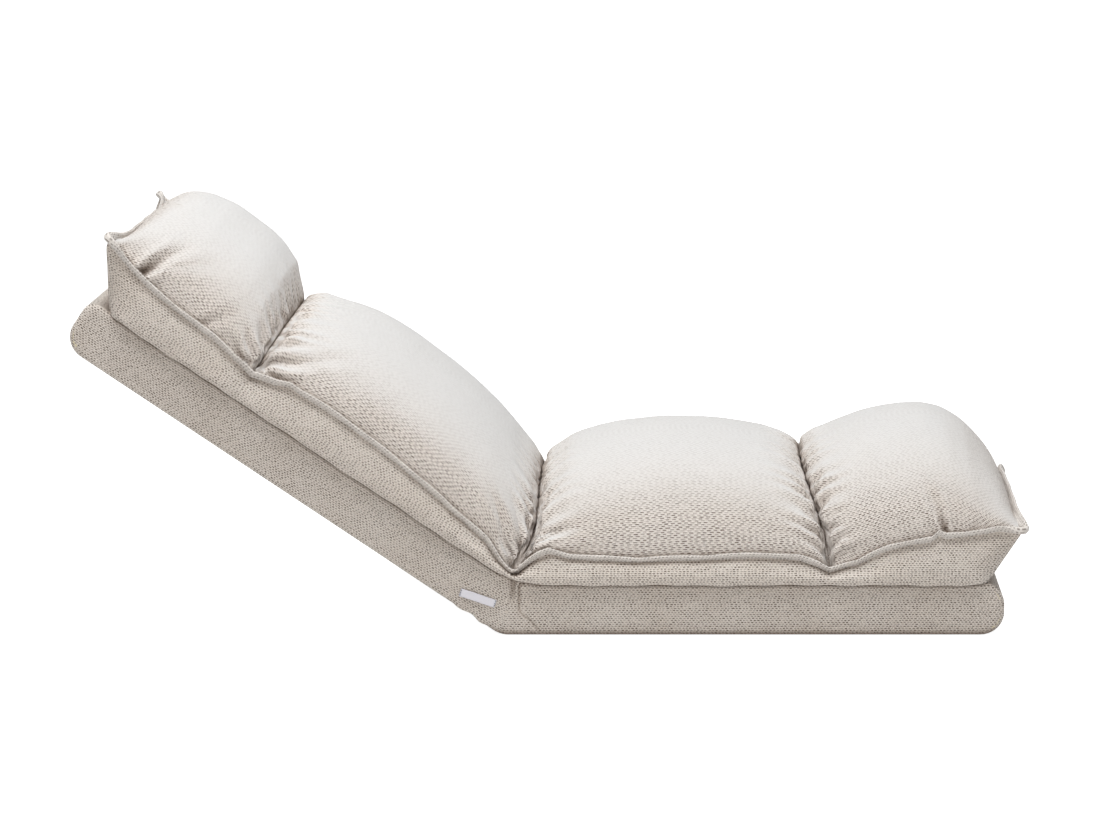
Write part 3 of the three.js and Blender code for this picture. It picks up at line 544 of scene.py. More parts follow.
# %% [markdown]
# ## A finer grid
# The solver's grid is doubled with smooth curves through its points, fine enough for sharp folds.

# %% Double the grid
def doubled(grid, wrap=False):
    """Twice as many rows along the first axis, on smooth curves through the given ones."""
    if wrap:
        padded = np.concatenate([grid[-1:], grid, grid[:2]])
    else:
        padded = np.concatenate([2 * grid[:1] - grid[1:2], grid, 2 * grid[-1:] - grid[-2:-1]])
    a, b, c, d = padded[:-3], padded[1:-2], padded[2:-1], padded[3:]
    halfway = (9 * (b + c) - a - d) / 16
    mixed = np.stack([b, halfway], 1).reshape(-1, *grid.shape[1:])
    return mixed if wrap else np.concatenate([mixed, grid[-1:]])


def swapped(grid):
    return np.swapaxes(grid, 0, 1)


top = swapped(doubled(swapped(doubled(top))))
coarse_seam = np.array([shell[i] for i in rings[0]])[:, None]
sides = doubled(swapped(doubled(swapped(np.concatenate([coarse_seam, sides], 1)))), wrap=True)[:, 1:]
row_names = [row_names[(i + 1) // 2] for i in range(2 * rows - 1)]
rows, columns, gusset_rows = top.shape[0], top.shape[1] - 1, sides.shape[1]
head_row, fold_row, leg_row = 2 * head_row, 2 * fold_row, 2 * leg_row
loop = loop_of(rows, columns)
ring = len(loop)
print("finer grid", rows, "by", columns + 1)

# %% [markdown]
# ## Folds
# The deeper folds each have a cause: at a channel's end the cloth is bunched into one point and fans
# out; at a corner the turned point tucks under the filling; at a stop in the seam one pleat stands.
# Each is drawn on the cloth from where it starts to where it dies out, sharp in the valley and round
# beside it.

# %% Fold the cloth
along, across = cloth_places(top, (head_row, leg_row, fold_row), 2 * slot_rows)
places = np.stack([np.broadcast_to(along[:, None], across.shape), across], -1)


def crease(start, end, width, depth):
    """Height change of a fold from start to end, both (along, across) on the cloth."""
    start, end = np.array(start), np.array(end)
    size = np.linalg.norm(end - start)
    direction = (end - start) / size
    from_start = places - start
    run = from_start @ direction
    x = from_start @ np.array([-direction[1], direction[0]])
    share = run / size
    fade = np.where(share < 0, np.exp(-(run / (1.5 * width)) ** 2), np.clip(1 - share, 0, 1) ** 1.3)
    spread = width * (0.7 + 0.9 * np.clip(share, 0, 1))
    valley = np.exp(-(np.abs(x) / spread) ** 1.2)
    ridges = sum(np.exp(-((x - way * 1.8 * spread) / (1.1 * spread)) ** 2) for way in (1, -1))
    return depth * fade * (0.55 * ridges - valley)


folds = np.zeros(across.shape)
for at_row, strength in ((head_row, 1.0), (leg_row, 1.0), (fold_row, 0.8)):
    for towards in (-1, 1):
        place = -0.290
        while place < 0.290:
            outer = abs(place) / 0.30
            reach = rng.uniform(0.035, 0.085) * (1 + 0.5 * outer ** 2)
            lean = -0.55 * place / 0.30 + rng.normal(0, 0.25)
            folds += crease((along[at_row], place), (along[at_row] + towards * reach, place + lean * reach),
                            rng.uniform(0.008, 0.013), strength * rng.uniform(0.0012, 0.0042))
            place += rng.uniform(0.024, 0.050)
print("small folds from", round(folds.min() * 1000, 1), "to", round(folds.max() * 1000, 1), "mm")

# %% [markdown]
# ## Folds that can be pointed at
# The near side shows some folds one by one, and those are drawn from a table. The far side has them too,
# a little out of step and shallower, since two hand-stuffed sides are never quite alike.

# %% Draw the larger folds
# By the row of the channel they belong to (0 is the head end): start and end, each as along from that
# channel and across, then width and depth. A negative depth stands up as a roll.
near_folds = {
    0: [
        (0.110, 0.346, 0.168, 0.236, 0.010, 0.0145), (0.105, 0.350, 0.140, 0.290, 0.007, 0.0070),
        (0.120, 0.340, 0.240, 0.225, 0.010, 0.0034), (0.255, 0.352, 0.305, 0.280, 0.010, 0.0036),
        (0.066, 0.332, 0.105, 0.300, 0.012, -0.0040)],
    head_row: [
        (-0.004, 0.352, -0.130, 0.330, 0.008, 0.0060), (-0.004, 0.342, -0.100, 0.292, 0.007, 0.0056),
        (-0.004, 0.330, -0.062, 0.252, 0.007, 0.0050), (-0.004, 0.285, -0.040, 0.170, 0.007, 0.0034),
        (0.004, 0.356, 0.110, 0.338, 0.009, 0.0046), (0.004, 0.345, 0.160, 0.215, 0.010, 0.0064),
        (0.004, 0.330, 0.060, 0.235, 0.007, 0.0050), (0.004, 0.295, 0.045, 0.165, 0.008, 0.0046),
        (0.006, 0.240, 0.035, 0.110, 0.007, 0.0036)],
    fold_row: [
        (-0.030, 0.352, -0.140, 0.280, 0.009, 0.0064), (-0.015, 0.340, -0.085, 0.235, 0.008, 0.0056),
        (-0.008, 0.320, -0.050, 0.190, 0.007, 0.0046), (-0.005, 0.270, -0.032, 0.130, 0.007, 0.0034),
        (0.000, 0.350, 0.120, 0.352, 0.013, -0.0070), (0.020, 0.322, 0.110, 0.316, 0.009, 0.0046),
        (0.004, 0.300, 0.040, 0.190, 0.008, 0.0040)],
    leg_row: [
        (-0.004, 0.345, -0.070, 0.330, 0.007, 0.0046), (-0.004, 0.332, -0.060, 0.275, 0.007, 0.0054),
        (-0.004, 0.315, -0.048, 0.225, 0.007, 0.0050), (-0.004, 0.280, -0.036, 0.175, 0.007, 0.0042),
        (0.004, 0.348, 0.075, 0.342, 0.008, 0.0046), (0.004, 0.338, 0.105, 0.312, 0.008, 0.0064),
        (0.004, 0.325, 0.105, 0.270, 0.008, 0.0054), (0.004, 0.300, 0.070, 0.215, 0.007, 0.0050),
        (0.004, 0.260, 0.045, 0.160, 0.007, 0.0042), (0.246, 0.380, 0.226, 0.288, 0.009, 0.0095),
        (0.300, 0.385, 0.345, 0.320, 0.010, 0.0034)],
}
for channel, channel_folds in near_folds.items():
    origin = along[channel] if channel else 0.0
    for a, b, a_end, b_end, width, depth in channel_folds:
        deepened = 1.1 if channel == leg_row and a < 0.2 else 1.5
        for side, share in ((1, 1.0), (-1, 0.75)):
            slide = 0.0 if side > 0 else rng.uniform(-0.008, 0.008)
            start, end = (origin + a, side * (b + slide)), (origin + a_end, side * (b_end + slide))
            folds += crease(start, end, width, share * depth * deepened)
top = top + normals_of(top) * (folds * np.clip(from_edge(columns) / 3, 0, 1))[..., None]
print("folds from", round(folds.min() * 1000, 1), "to", round(folds.max() * 1000, 1), "mm")

# %% [markdown]
# ## Keep the chambers apart
# Two full chambers press flat against each other above a seam; they don't pass through. Each chamber's
# cloth is therefore pushed back to its own side of the plane between the two.

# %% Contact at the channels
def to_local(points, panel):
    """World points to (u, y, w) of a panel."""
    x, y, z = points[..., 0] - hinge_x, points[..., 1], points[..., 2] - hinge_z
    if panel == "seat":
        return np.stack([x, y, z], -1)
    cos, sin = math.cos(raised), math.sin(raised)
    return np.stack([-x * cos + z * sin, y, x * sin + z * cos], -1)


contact_gap = 0.0004
for name, chamber in chambers.items():
    mine = np.array([i for i, other in enumerate(row_names) if other == name])
    points = to_local(top[mine], chamber["panel"])
    start, stop = (plane(points[..., 2], base_top + 0.05) for plane in chamber["planes"])
    points[..., 0] = np.maximum(points[..., 0], start + contact_gap)
    if not chamber["open"]:
        points[..., 0] = np.minimum(points[..., 0], stop - contact_gap)
    top[mine] = on_panel(chamber["panel"], points[..., 0], points[..., 1], points[..., 2])
print("crown", top.shape)

# %% [markdown]
# ## Mesh helpers
# Every piece of cloth becomes a mesh in the same way: points and faces, smooth shading, and where it is
# woven a UV map in real metres. A second helper keeps one number per point.

# %% Mesh helpers
def mesh_piece(name, points, faces, uvs=None):
    mesh = bpy.data.meshes.new(name)
    mesh.from_pydata(np.asarray(points).tolist(), [], faces)
    if uvs is not None:
        layer = mesh.uv_layers.new(name="cloth")
        layer.data.foreach_set("uv", np.concatenate(uvs).astype(np.float32).ravel())
    mesh.polygons.foreach_set("use_smooth", [True] * len(mesh.polygons))
    mesh.update()
    piece = bpy.data.objects.new(name, mesh)
    bpy.context.scene.collection.objects.link(piece)
    return piece


def mark(piece, name, values):
    """Keep one number per point on the mesh, for its material to read."""
    layer = piece.data.attributes.new(name, "FLOAT", "POINT")
    layer.data.foreach_set("value", np.asarray(values, np.float32))


print("shell of", top.size // 3 + sides.size // 3, "points to build")

# %% [markdown]
# ## Topper cover
# The shell gets its underside, one long strip per row, and a UV map in real metres: along the chair and
# across it, measured on the cloth. The weave reads that map, so it bends and gathers as cloth does.

# %% Build the cover
faces, rings = shell_faces(rows, columns, gusset_rows)
shell = np.concatenate([top.reshape(-1, 3), sides.reshape(-1, 3)])
seam = shell[rings[0]]
round_seam = lengths(np.concatenate([seam, seam[:1]]))
side_names = [row_names[r] for r, c in loop]
on_seat = np.array([name in ("seat", "leg") for name in side_names])
ring_places = np.stack([np.where(on_seat[:, None], to_local(shell[r], "seat"), to_local(shell[r], "back"))
                        for r in rings])
at_end = np.array([r in (0, rows - 1) for r, c in loop])
uvs = list(places.reshape(-1, 2)[np.array(faces[:(rows - 1) * columns])])
for k in range(gusset_rows):
    for i in range(ring):
        j = (i + 1) % ring
        corners = ring_places[[k, k, k + 1, k + 1], [i, j, j, i]]
        if on_seat[i] != on_seat[j]:
            corners[1:3, 0] = corners[[0, 3], 0] + (round_seam[i + 1] - round_seam[i])
        uvs.append(corners[:, [1, 2]] if at_end[i] and at_end[j] else corners[:, [0, 2]])
foot = rings[-1]
last_near = 2 * (rows - 1) + columns  # place in the loop of the near head corner
under = [[foot[r], foot[r + 1], foot[last_near - r - 1], foot[last_near - r]] for r in range(rows - 1)]
under[0] = [foot[0], foot[1], foot[last_near - 1]] + foot[last_near:]
under[-1] = [foot[rows - 2]] + foot[rows - 1:rows + columns + 1]
for face in under:
    uvs.append(shell[face][:, :2])
cover = mesh_piece("topper_cover", shell, faces + under, uvs)
panel_up = np.where(np.array([n in ("seat", "leg") for n in row_names])[:, None, None], [0, 0, 1.0],
                    [math.sin(raised), 0, math.cos(raised)])
facing_up = np.clip((normals_of(top) * panel_up).sum(-1), 0, 1)
# The crown value is how far each point of the top faces up, and the gusset's is 0; the material paints light
# by it.
mark(cover, "crown", np.concatenate([facing_up.ravel(), np.zeros(sides.size // 3)]))
print("topper cover", len(cover.data.polygons), "faces")

# %% [markdown]
# ## Sewn flange
# Top cloth and gusset are joined with a French seam: the two edges are turned in and stitched again close
# to the seam, which leaves a flat, slightly padded lip about 11 mm wide all round. It is swept along the
# seam; at the corners it runs out to a point, as the turned cloth does there.

# %% Sweep the flange
lip_tilt = math.radians(48)
# Out from the seam, and half thickness; the thin place at 2 mm is the line of stitching.
half_lip = [(-0.003, 0.0018), (0.0, 0.0018), (0.0020, 0.0007), (0.0042, 0.0022), (0.0070, 0.0028),
            (0.0098, 0.0023), (0.0114, 0.0010)]


def smoothed(values, reach):
    weights = np.exp(-(np.arange(-reach, reach + 1) / (0.5 * reach)) ** 2)
    return sum(np.roll(values, k - reach, axis=0) * w for k, w in enumerate(weights)) / weights.sum()


def seam_directions(seam):
    """Outward and upward directions at each point of the side seam, turning smoothly at the corners."""
    up = np.where(on_seat[:, None], [0, 0, 1.0], [math.sin(raised), 0, math.cos(raised)])
    edge = np.roll(seam, -1, axis=0) - np.roll(seam, 1, axis=0)
    out = np.cross(edge, up)
    out *= np.sign((out[rows // 2] * seam[rows // 2])[1])
    out = smoothed(out / np.linalg.norm(out, axis=1, keepdims=True), 5)
    return out / np.linalg.norm(out, axis=1, keepdims=True), up


out, up = seam_directions(seam)
at_corner = np.zeros(ring)
for place in (0, rows - 1, rows - 1 + columns, last_near):
    away = np.abs((np.arange(ring) - place + ring // 2) % ring - ring // 2)
    at_corner = np.maximum(at_corner, np.exp(-(away / 9) ** 2))
tilt = (lip_tilt * (1 - 0.6 * at_corner) + 0.10 * np.sin(round_seam[:-1] / 0.019) * (1 - at_corner))[:, None]
lip_out, lip_up = out * np.cos(tilt) + up * np.sin(tilt), up * np.cos(tilt) - out * np.sin(tilt)
swell = (1 + 1.3 * at_corner + 0.10 * np.sin(round_seam[:-1] / 0.0083))[:, None]
profile = half_lip + [(a, -b) for a, b in half_lip[::-1]]
lip_rings = np.stack([seam + lip_out * a + lip_up * b * swell for a, b in profile])
count = len(profile)
steps = lengths(np.array(profile))
lip_faces, lip_uvs = [], []
for k in range(count):
    n = (k + 1) % count
    for i in range(ring):
        j = (i + 1) % ring
        lip_faces.append([k * ring + i, n * ring + i, n * ring + j, k * ring + j])
        a, b = round_seam[i], round_seam[i + 1]
        lip_uvs.append(np.array([[a, steps[k]], [a, steps[k] + 0.002], [b, steps[k] + 0.002], [b, steps[k]]]))
lip = mesh_piece("topper_flange", lip_rings.reshape(-1, 3), lip_faces, lip_uvs)
# The whole lip gets a middling crown value, so its material paints some light on it: a little paler, with
# fainter gaps.
mark(lip, "crown", np.full(lip_rings.size // 3, 0.55))
print("flange", round(float(round_seam[-1]), 3), "m round")

# %% [markdown]
# ## Base covers
# Each base is a boxed slab: one strip runs over the top, round the outer end and back along the
# underside, and a side panel closes each side; the seam between them lies about 15 mm in on the side.
# The head end keeps a squarer top edge than the rest. Both slabs are one closed lattice that bends at the
# fold.

# %% Lattice of the bases
end_radius, edge_radius, head_top_radius = 0.040, 0.010, 0.022
boxing = (0.0125, 0.0138, 0.0147, 0.0156, 0.0180)  # insets of the side panel's rings inside the rounded edge
seam_inset = boxing[2]
bulge = 0.0014  # how far the foam pushes the side panel out in its middle
fold_reach = 0.104  # the lattice is fine up to here, where the cloth bends and creases


def lattice_line(length, reach):
    fine = np.arange(0, reach, 0.0018)
    middle = np.arange(reach, fold_reach, 0.004)
    coarse = np.linspace(fold_reach, length, round((length - fold_reach) / 0.0085) + 1)
    return np.concatenate([fine, middle, coarse])


def base_point(a, b, inset, y):
    """A point of the bases: a along (negative on the back), b up, drawn inset from the outline, at side y."""
    panel, length = ("seat", seat_length) if a >= 0 else ("back", back_length)
    above = min(inset, edge_radius) + 0.25 * max(0, inset - edge_radius)
    w = b * (1 - (inset if b < 0 else above) / half_thickness)
    reach = length - 1.4 * inset
    u = min(abs(a), length) * reach / length
    radius = (head_top_radius if panel == "back" and b > 0 else end_radius) - inset * 0.5
    limit = abs(w) if abs(b) == half_thickness else half_thickness - (inset if b < 0 else above)
    core_u, core_w = reach - radius, limit - radius
    du, dw = max(u - core_u, 0), max(abs(w) - core_w, 0)
    if du > 0 and dw > 0:
        big, size = max(du, dw), math.hypot(du, dw)
        du, dw = du * big / size, dw * big / size
        u, w = core_u + du, math.copysign(core_w + dw, w)
    # The top rises a little at the fold, the two slabs meet on a slope, and the underside rounds the hinge.
    w += 0.009 * max(w / half_thickness, 0) ** 2 * math.exp(-(u / 0.035) ** 2)
    u += w * fold_slope * max(0, 1 - u / 0.055)
    if u < 0 and w < 0:
        w = -math.sqrt(max(w ** 2 - u ** 2, 0))
    return panel, u, y, w


print("foot end of the seat's base", base_point(seat_length, half_thickness, 0.0, 0.0))

# %% [markdown]
# ## Points and faces of the bases
# One strip goes round both slabs, ring by ring across the chair, and a panel at each side closes it.
# Beside the fold the lattice is much finer, for the seam and the creases there.

# %% Build the lattice
a_line = np.concatenate([-lattice_line(back_length, 0.030)[:0:-1], lattice_line(seat_length, 0.056)])
b_line = np.linspace(-half_thickness, half_thickness, 37)
side_face = half_width - 0.0022
y_inner = side_face - edge_radius
turns = np.linspace(0, math.pi / 2, 6)[1:]
half_rings = [(edge_radius * (1 - math.cos(t)), y_inner + edge_radius * math.sin(t)) for t in turns]
half_rings += [(inset, side_face) for inset in boxing]
base_rings = ([(inset, -y) for inset, y in half_rings[::-1]]
              + [(0.0, y) for y in np.linspace(-y_inner, y_inner, 41)] + half_rings)
outline = ([(a, b_line[0]) for a in a_line] + [(a_line[-1], b) for b in b_line[1:-1]]
           + [(a, b_line[-1]) for a in a_line[::-1]] + [(a_line[0], b) for b in b_line[-2:0:-1]])
around = len(outline)
placed = [base_point(a, b, inset, y) for inset, y in base_rings for a, b in outline]
base_faces = []
for k in range(len(base_rings) - 1):
    for i in range(around):
        j = (i + 1) % around
        base_faces.append([k * around + i, k * around + j, (k + 1) * around + j, (k + 1) * around + i])
strip_count = len(base_faces)
for side in (-1, 1):
    edge_ring = 0 if side < 0 else len(base_rings) - 1
    grid = {pair: edge_ring * around + i for i, pair in enumerate(outline)}
    for a in a_line[1:-1]:
        near_end = min(1, min(a - a_line[0], a_line[-1] - a) / 0.06)
        for b in b_line[1:-1]:
            inner = (1 - (b / half_thickness) ** 2) * near_end
            grid[a, b] = len(placed)
            placed.append(base_point(a, b, boxing[-1], side * (side_face + bulge * inner)))
    for a, a_next in zip(a_line, a_line[1:]):
        for b, b_next in zip(b_line, b_line[1:]):
            base_faces.append([grid[a, b], grid[a_next, b], grid[a_next, b_next], grid[a, b_next]][::side])
base_panels = [panel for panel, u, y, w in placed]
base_local = np.array([place[1:] for place in placed])
print("base lattice", len(placed), "points")

# %% [markdown]
# ## Seams and slack at the fold
# At the fold the two side panels meet. A stitched seam runs down the edge of the seat's panel and curves
# away under it, a softer crease marks the end of the back's panel, and under the back the cloth hangs in
# loose folds, the spare length that it needs when the chair is laid flat.

# %% Seams and slack at the fold
def from_line(points, line):
    """Distance of points to a line of straight pieces, and how far along it they are, 0 to 1."""
    line = np.array(line)
    total = lengths(line)
    best, share = np.full(len(points), 1.0), np.zeros(len(points))
    for start, end, before in zip(line, line[1:], total):
        way = end - start
        t = np.clip((points - start) @ way / (way @ way), 0, 1)
        apart = np.linalg.norm(points - start - t[:, None] * way, axis=1)
        share = np.where(apart < best, (before + t * np.linalg.norm(way)) / total[-1], share)
        best = np.minimum(best, apart)
    return best, share


on_back = np.array([panel == "back" for panel in base_panels])
u, y, w = base_local.T
# Loose folds under the back, where the cloth must stretch when the chair is laid flat.
notches = np.array([0.010, 0.0465, 0.0930])
where = np.interp(u, notches, np.arange(len(notches)), left=0, right=len(notches) - 1)
hump = np.sin(math.pi * where) ** 2 * 0.0036 - 0.0020 * np.exp(-((u - 0.055) / 0.040) ** 4)
w -= hump * on_back * (w < -0.030) * (u > 0.012)
# The covered opening under each base lies a little deeper, behind its cloth panel.
covered = (np.abs(y) < half_width - 0.0125) & (u > 0.062) & (w < -half_thickness + 0.008)
w[covered] = np.maximum(w[covered], -half_thickness + 0.0012)
base_local = np.stack([u, y, w], -1)
base_world = to_world(base_local, base_panels)
# Lines are (x, z) from the hinge axis: the stitched seam, the soft crease, then the boxing seam low down.
flat = np.stack([base_world[:, 0] - hinge_x, base_world[:, 2] - hinge_z], -1)
stitched, share = from_line(flat, [(0.0270, 0.0465), (0.0215, 0.0445), (0.0195, 0.0400), (0.0190, 0.0000),
                                   (0.0225, -0.0085), (0.0350, -0.0160), (0.0480, -0.0330),
                                   (0.0520, -0.0400)])
soft, soft_share = from_line(flat, [(0.0100, 0.0600), (0.0080, 0.0300), (0.0072, 0.0080), (0.0060, 0.0020)])
groove = 0.0060 * np.exp(-(stitched / 0.0023) ** 2) * (1 - 0.5 * share)
groove += 0.0080 * np.exp(-(soft / 0.0045) ** 2) * (1 - soft_share ** 3)
under_seam = np.abs(w + half_thickness - seam_inset)
clear_of_fold = np.clip((u - 0.10) / 0.10, 0, 1)
groove += 0.0008 * np.exp(-(under_seam / 0.0010) ** 2) * clear_of_fold * np.where(on_back, 1, 0.4)
on_side = np.abs(base_world[:, 1]) > side_face - 0.002
base_world[:, 1] -= np.sign(base_world[:, 1]) * groove * on_side
print("deepest groove", round(float(groove[on_side].max()) * 1000, 1), "mm")

# %% [markdown]
# ## Base cover
# On the strip the weave's map is measured round the slabs and across them. On the side panels it runs
# level with each base, as those are cut from flat cloth.

# %% Build the base cover
signed_u = np.where(on_back, -base_local[:, 0], base_local[:, 0])
ring_points = base_world[:len(base_rings) * around].reshape(len(base_rings), around, 3)
middle_ring = ring_points[len(base_rings) // 2]
round_length = lengths(np.concatenate([middle_ring, middle_ring[:1]]))
across_length = lengths(ring_points[:, len(a_line) // 2])
base_uvs = []
for number, face in enumerate(base_faces):
    k, i = divmod(number, around)
    if number < strip_count and min(k, len(base_rings) - 2 - k) >= len(half_rings):
        left, right, low, high = round_length[i], round_length[i + 1], across_length[k], across_length[k + 1]
        base_uvs.append(np.array([[left, low], [right, low], [right, high], [left, high]]))
    else:
        base_uvs.append(np.stack([signed_u[face], base_local[face][:, 2]], -1))
base = mesh_piece("base_cover", base_world, base_faces, base_uvs)
print("base cover", len(base.data.polygons), "faces")

# %% [markdown]
# ## Label
# A small satin ribbon is sewn to the side of the back near the fold, by three short stitches of dark
# thread at each end. It is left blank.

# %% Make the label
label_length, label_height, label_tilt = 0.064, 0.014, math.radians(16)
steps_along, steps_up = 24, 6
stitch_from_middle, stitch_half_length, stitch_half_width = 0.0308, 0.0014, 0.0004


def label_point(s, t, lift):
    """A point on the label: s along and t up it in metres from its middle, on the near side of the back."""
    u = 0.054 + s * math.cos(label_tilt) + t * math.sin(label_tilt)
    w = -0.012 - s * math.sin(label_tilt) + t * math.cos(label_tilt)
    return on_panel("back", u, -(half_width + lift), w)


label_points = []
for i in range(steps_along + 1):
    for j in range(steps_up + 1):
        s, t = i / steps_along, j / steps_up
        lift = 0.0012 + 0.0010 * math.sin(math.pi * s) + 0.0016 * (s ** 4 - 0.4) * (t - 0.5)
        up = label_height * (t - 0.5) + 0.0004 * math.sin(5 * s)
        label_points.append(label_point(label_length * (0.5 - s), up, lift))
label_faces = grid_faces(steps_along + 1, steps_up, lambda r, c: r * (steps_up + 1) + c)
label = mesh_piece("side_ribbon", label_points, [[a, d, c, b] for a, b, c, d in label_faces])
thick = label.modifiers.new("thickness", "SOLIDIFY")
thick.thickness = 0.0008
whole = bpy.data.meshes.new_from_object(label.evaluated_get(bpy.context.evaluated_depsgraph_get()))
label.modifiers.clear()
label.data = whole
box_faces = ((0, 3, 2, 1), (4, 5, 6, 7), (0, 1, 5, 4), (1, 2, 6, 5), (2, 3, 7, 6), (3, 0, 4, 7))
stitch_points, stitch_faces = [], []
for end in (-1, 1):
    for row in (-0.0042, 0.0, 0.0042):
        first = len(stitch_points)
        for lift in (0.0012, 0.0022):
            for ds, dt in ((-1, -1), (1, -1), (1, 1), (-1, 1)):
                stitch_points.append(label_point(end * stitch_from_middle + ds * stitch_half_width,
                                                 row + dt * stitch_half_length, lift))
        stitch_faces += [[first + i for i in face] for face in box_faces]
stitches = mesh_piece("ribbon_stitches", stitch_points, stitch_faces)
low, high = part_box("side_label")
print("label node", tuple(low), tuple(high), "ribbon", np.min(label_points, 0).round(4),
      np.max(label_points, 0).round(4))

# %% [markdown]
# ## Colours and nodes
# Colours are written as sRGB hex and turned to the linear values that the shader works in. One small
# function adds a node, sets its values and links its inputs.

# %% Colour and node helpers
def linear(hex_colour):
    parts = [int(hex_colour[i:i + 2], 16) / 255 for i in (1, 3, 5)]
    return tuple(p / 12.92 if p <= 0.04045 else ((p + 0.055) / 1.055) ** 2.4 for p in parts) + (1.0,)


def add(tree, kind, inputs=None, stops=(), **settings):
    """Add a node. An input is a value, a socket, or a node for its first output; stops colour a ramp."""
    node = tree.nodes.new("ShaderNode" + kind)
    for key, value in settings.items():
        setattr(node, key, value)
    for key, value in (inputs or {}).items():
        if isinstance(value, bpy.types.Node):
            value = value.outputs[0]
        if isinstance(value, bpy.types.NodeSocket):
            tree.links.new(value, node.inputs[key])
        else:
            node.inputs[key].default_value = value
    for number, (position, colour) in enumerate(stops):
        node.color_ramp.elements[number].position = position
        node.color_ramp.elements[number].color = linear(colour)
    return node


def new_material(name):
    material = bpy.data.materials.new(name)
    material.use_nodes = True
    material.node_tree.nodes.clear()
    return material, material.node_tree


print("white is", linear("#ffffff"))

# %% [markdown]
# ## Woven chenille
# The cover is a chunky cream upholstery weave: soft chenille weft yarns float over a finer warp, and
# between the floats short gaps show, dark partly in the weave's own colour and partly with painted shade.
# Rows lie 3.5 mm apart and every other one is shifted by half. Along a row the gaps come every 10 mm on
# the topper, and every 6 mm on the gusset, the seam and the bases. Raised yarn and gaps come from the same
# pattern, so colour and bump agree. Fine noise stands for the fibres, a broad one for the slight
# unevenness of the dye. Where the cloth faces up, as the mesh's crown value says, light is painted on: the
# colour is paler and the gaps are faded. Deep in a crease, as ambient occlusion finds it, shade is painted
# on: the colour is darker and warmer.

# %% Chenille material
row_pitch = 0.0035
# Painted light on cloth that faces up, and painted shade deep in a crease.
painted_top_light, painted_crease_shade = "#dddede", "#85705f"


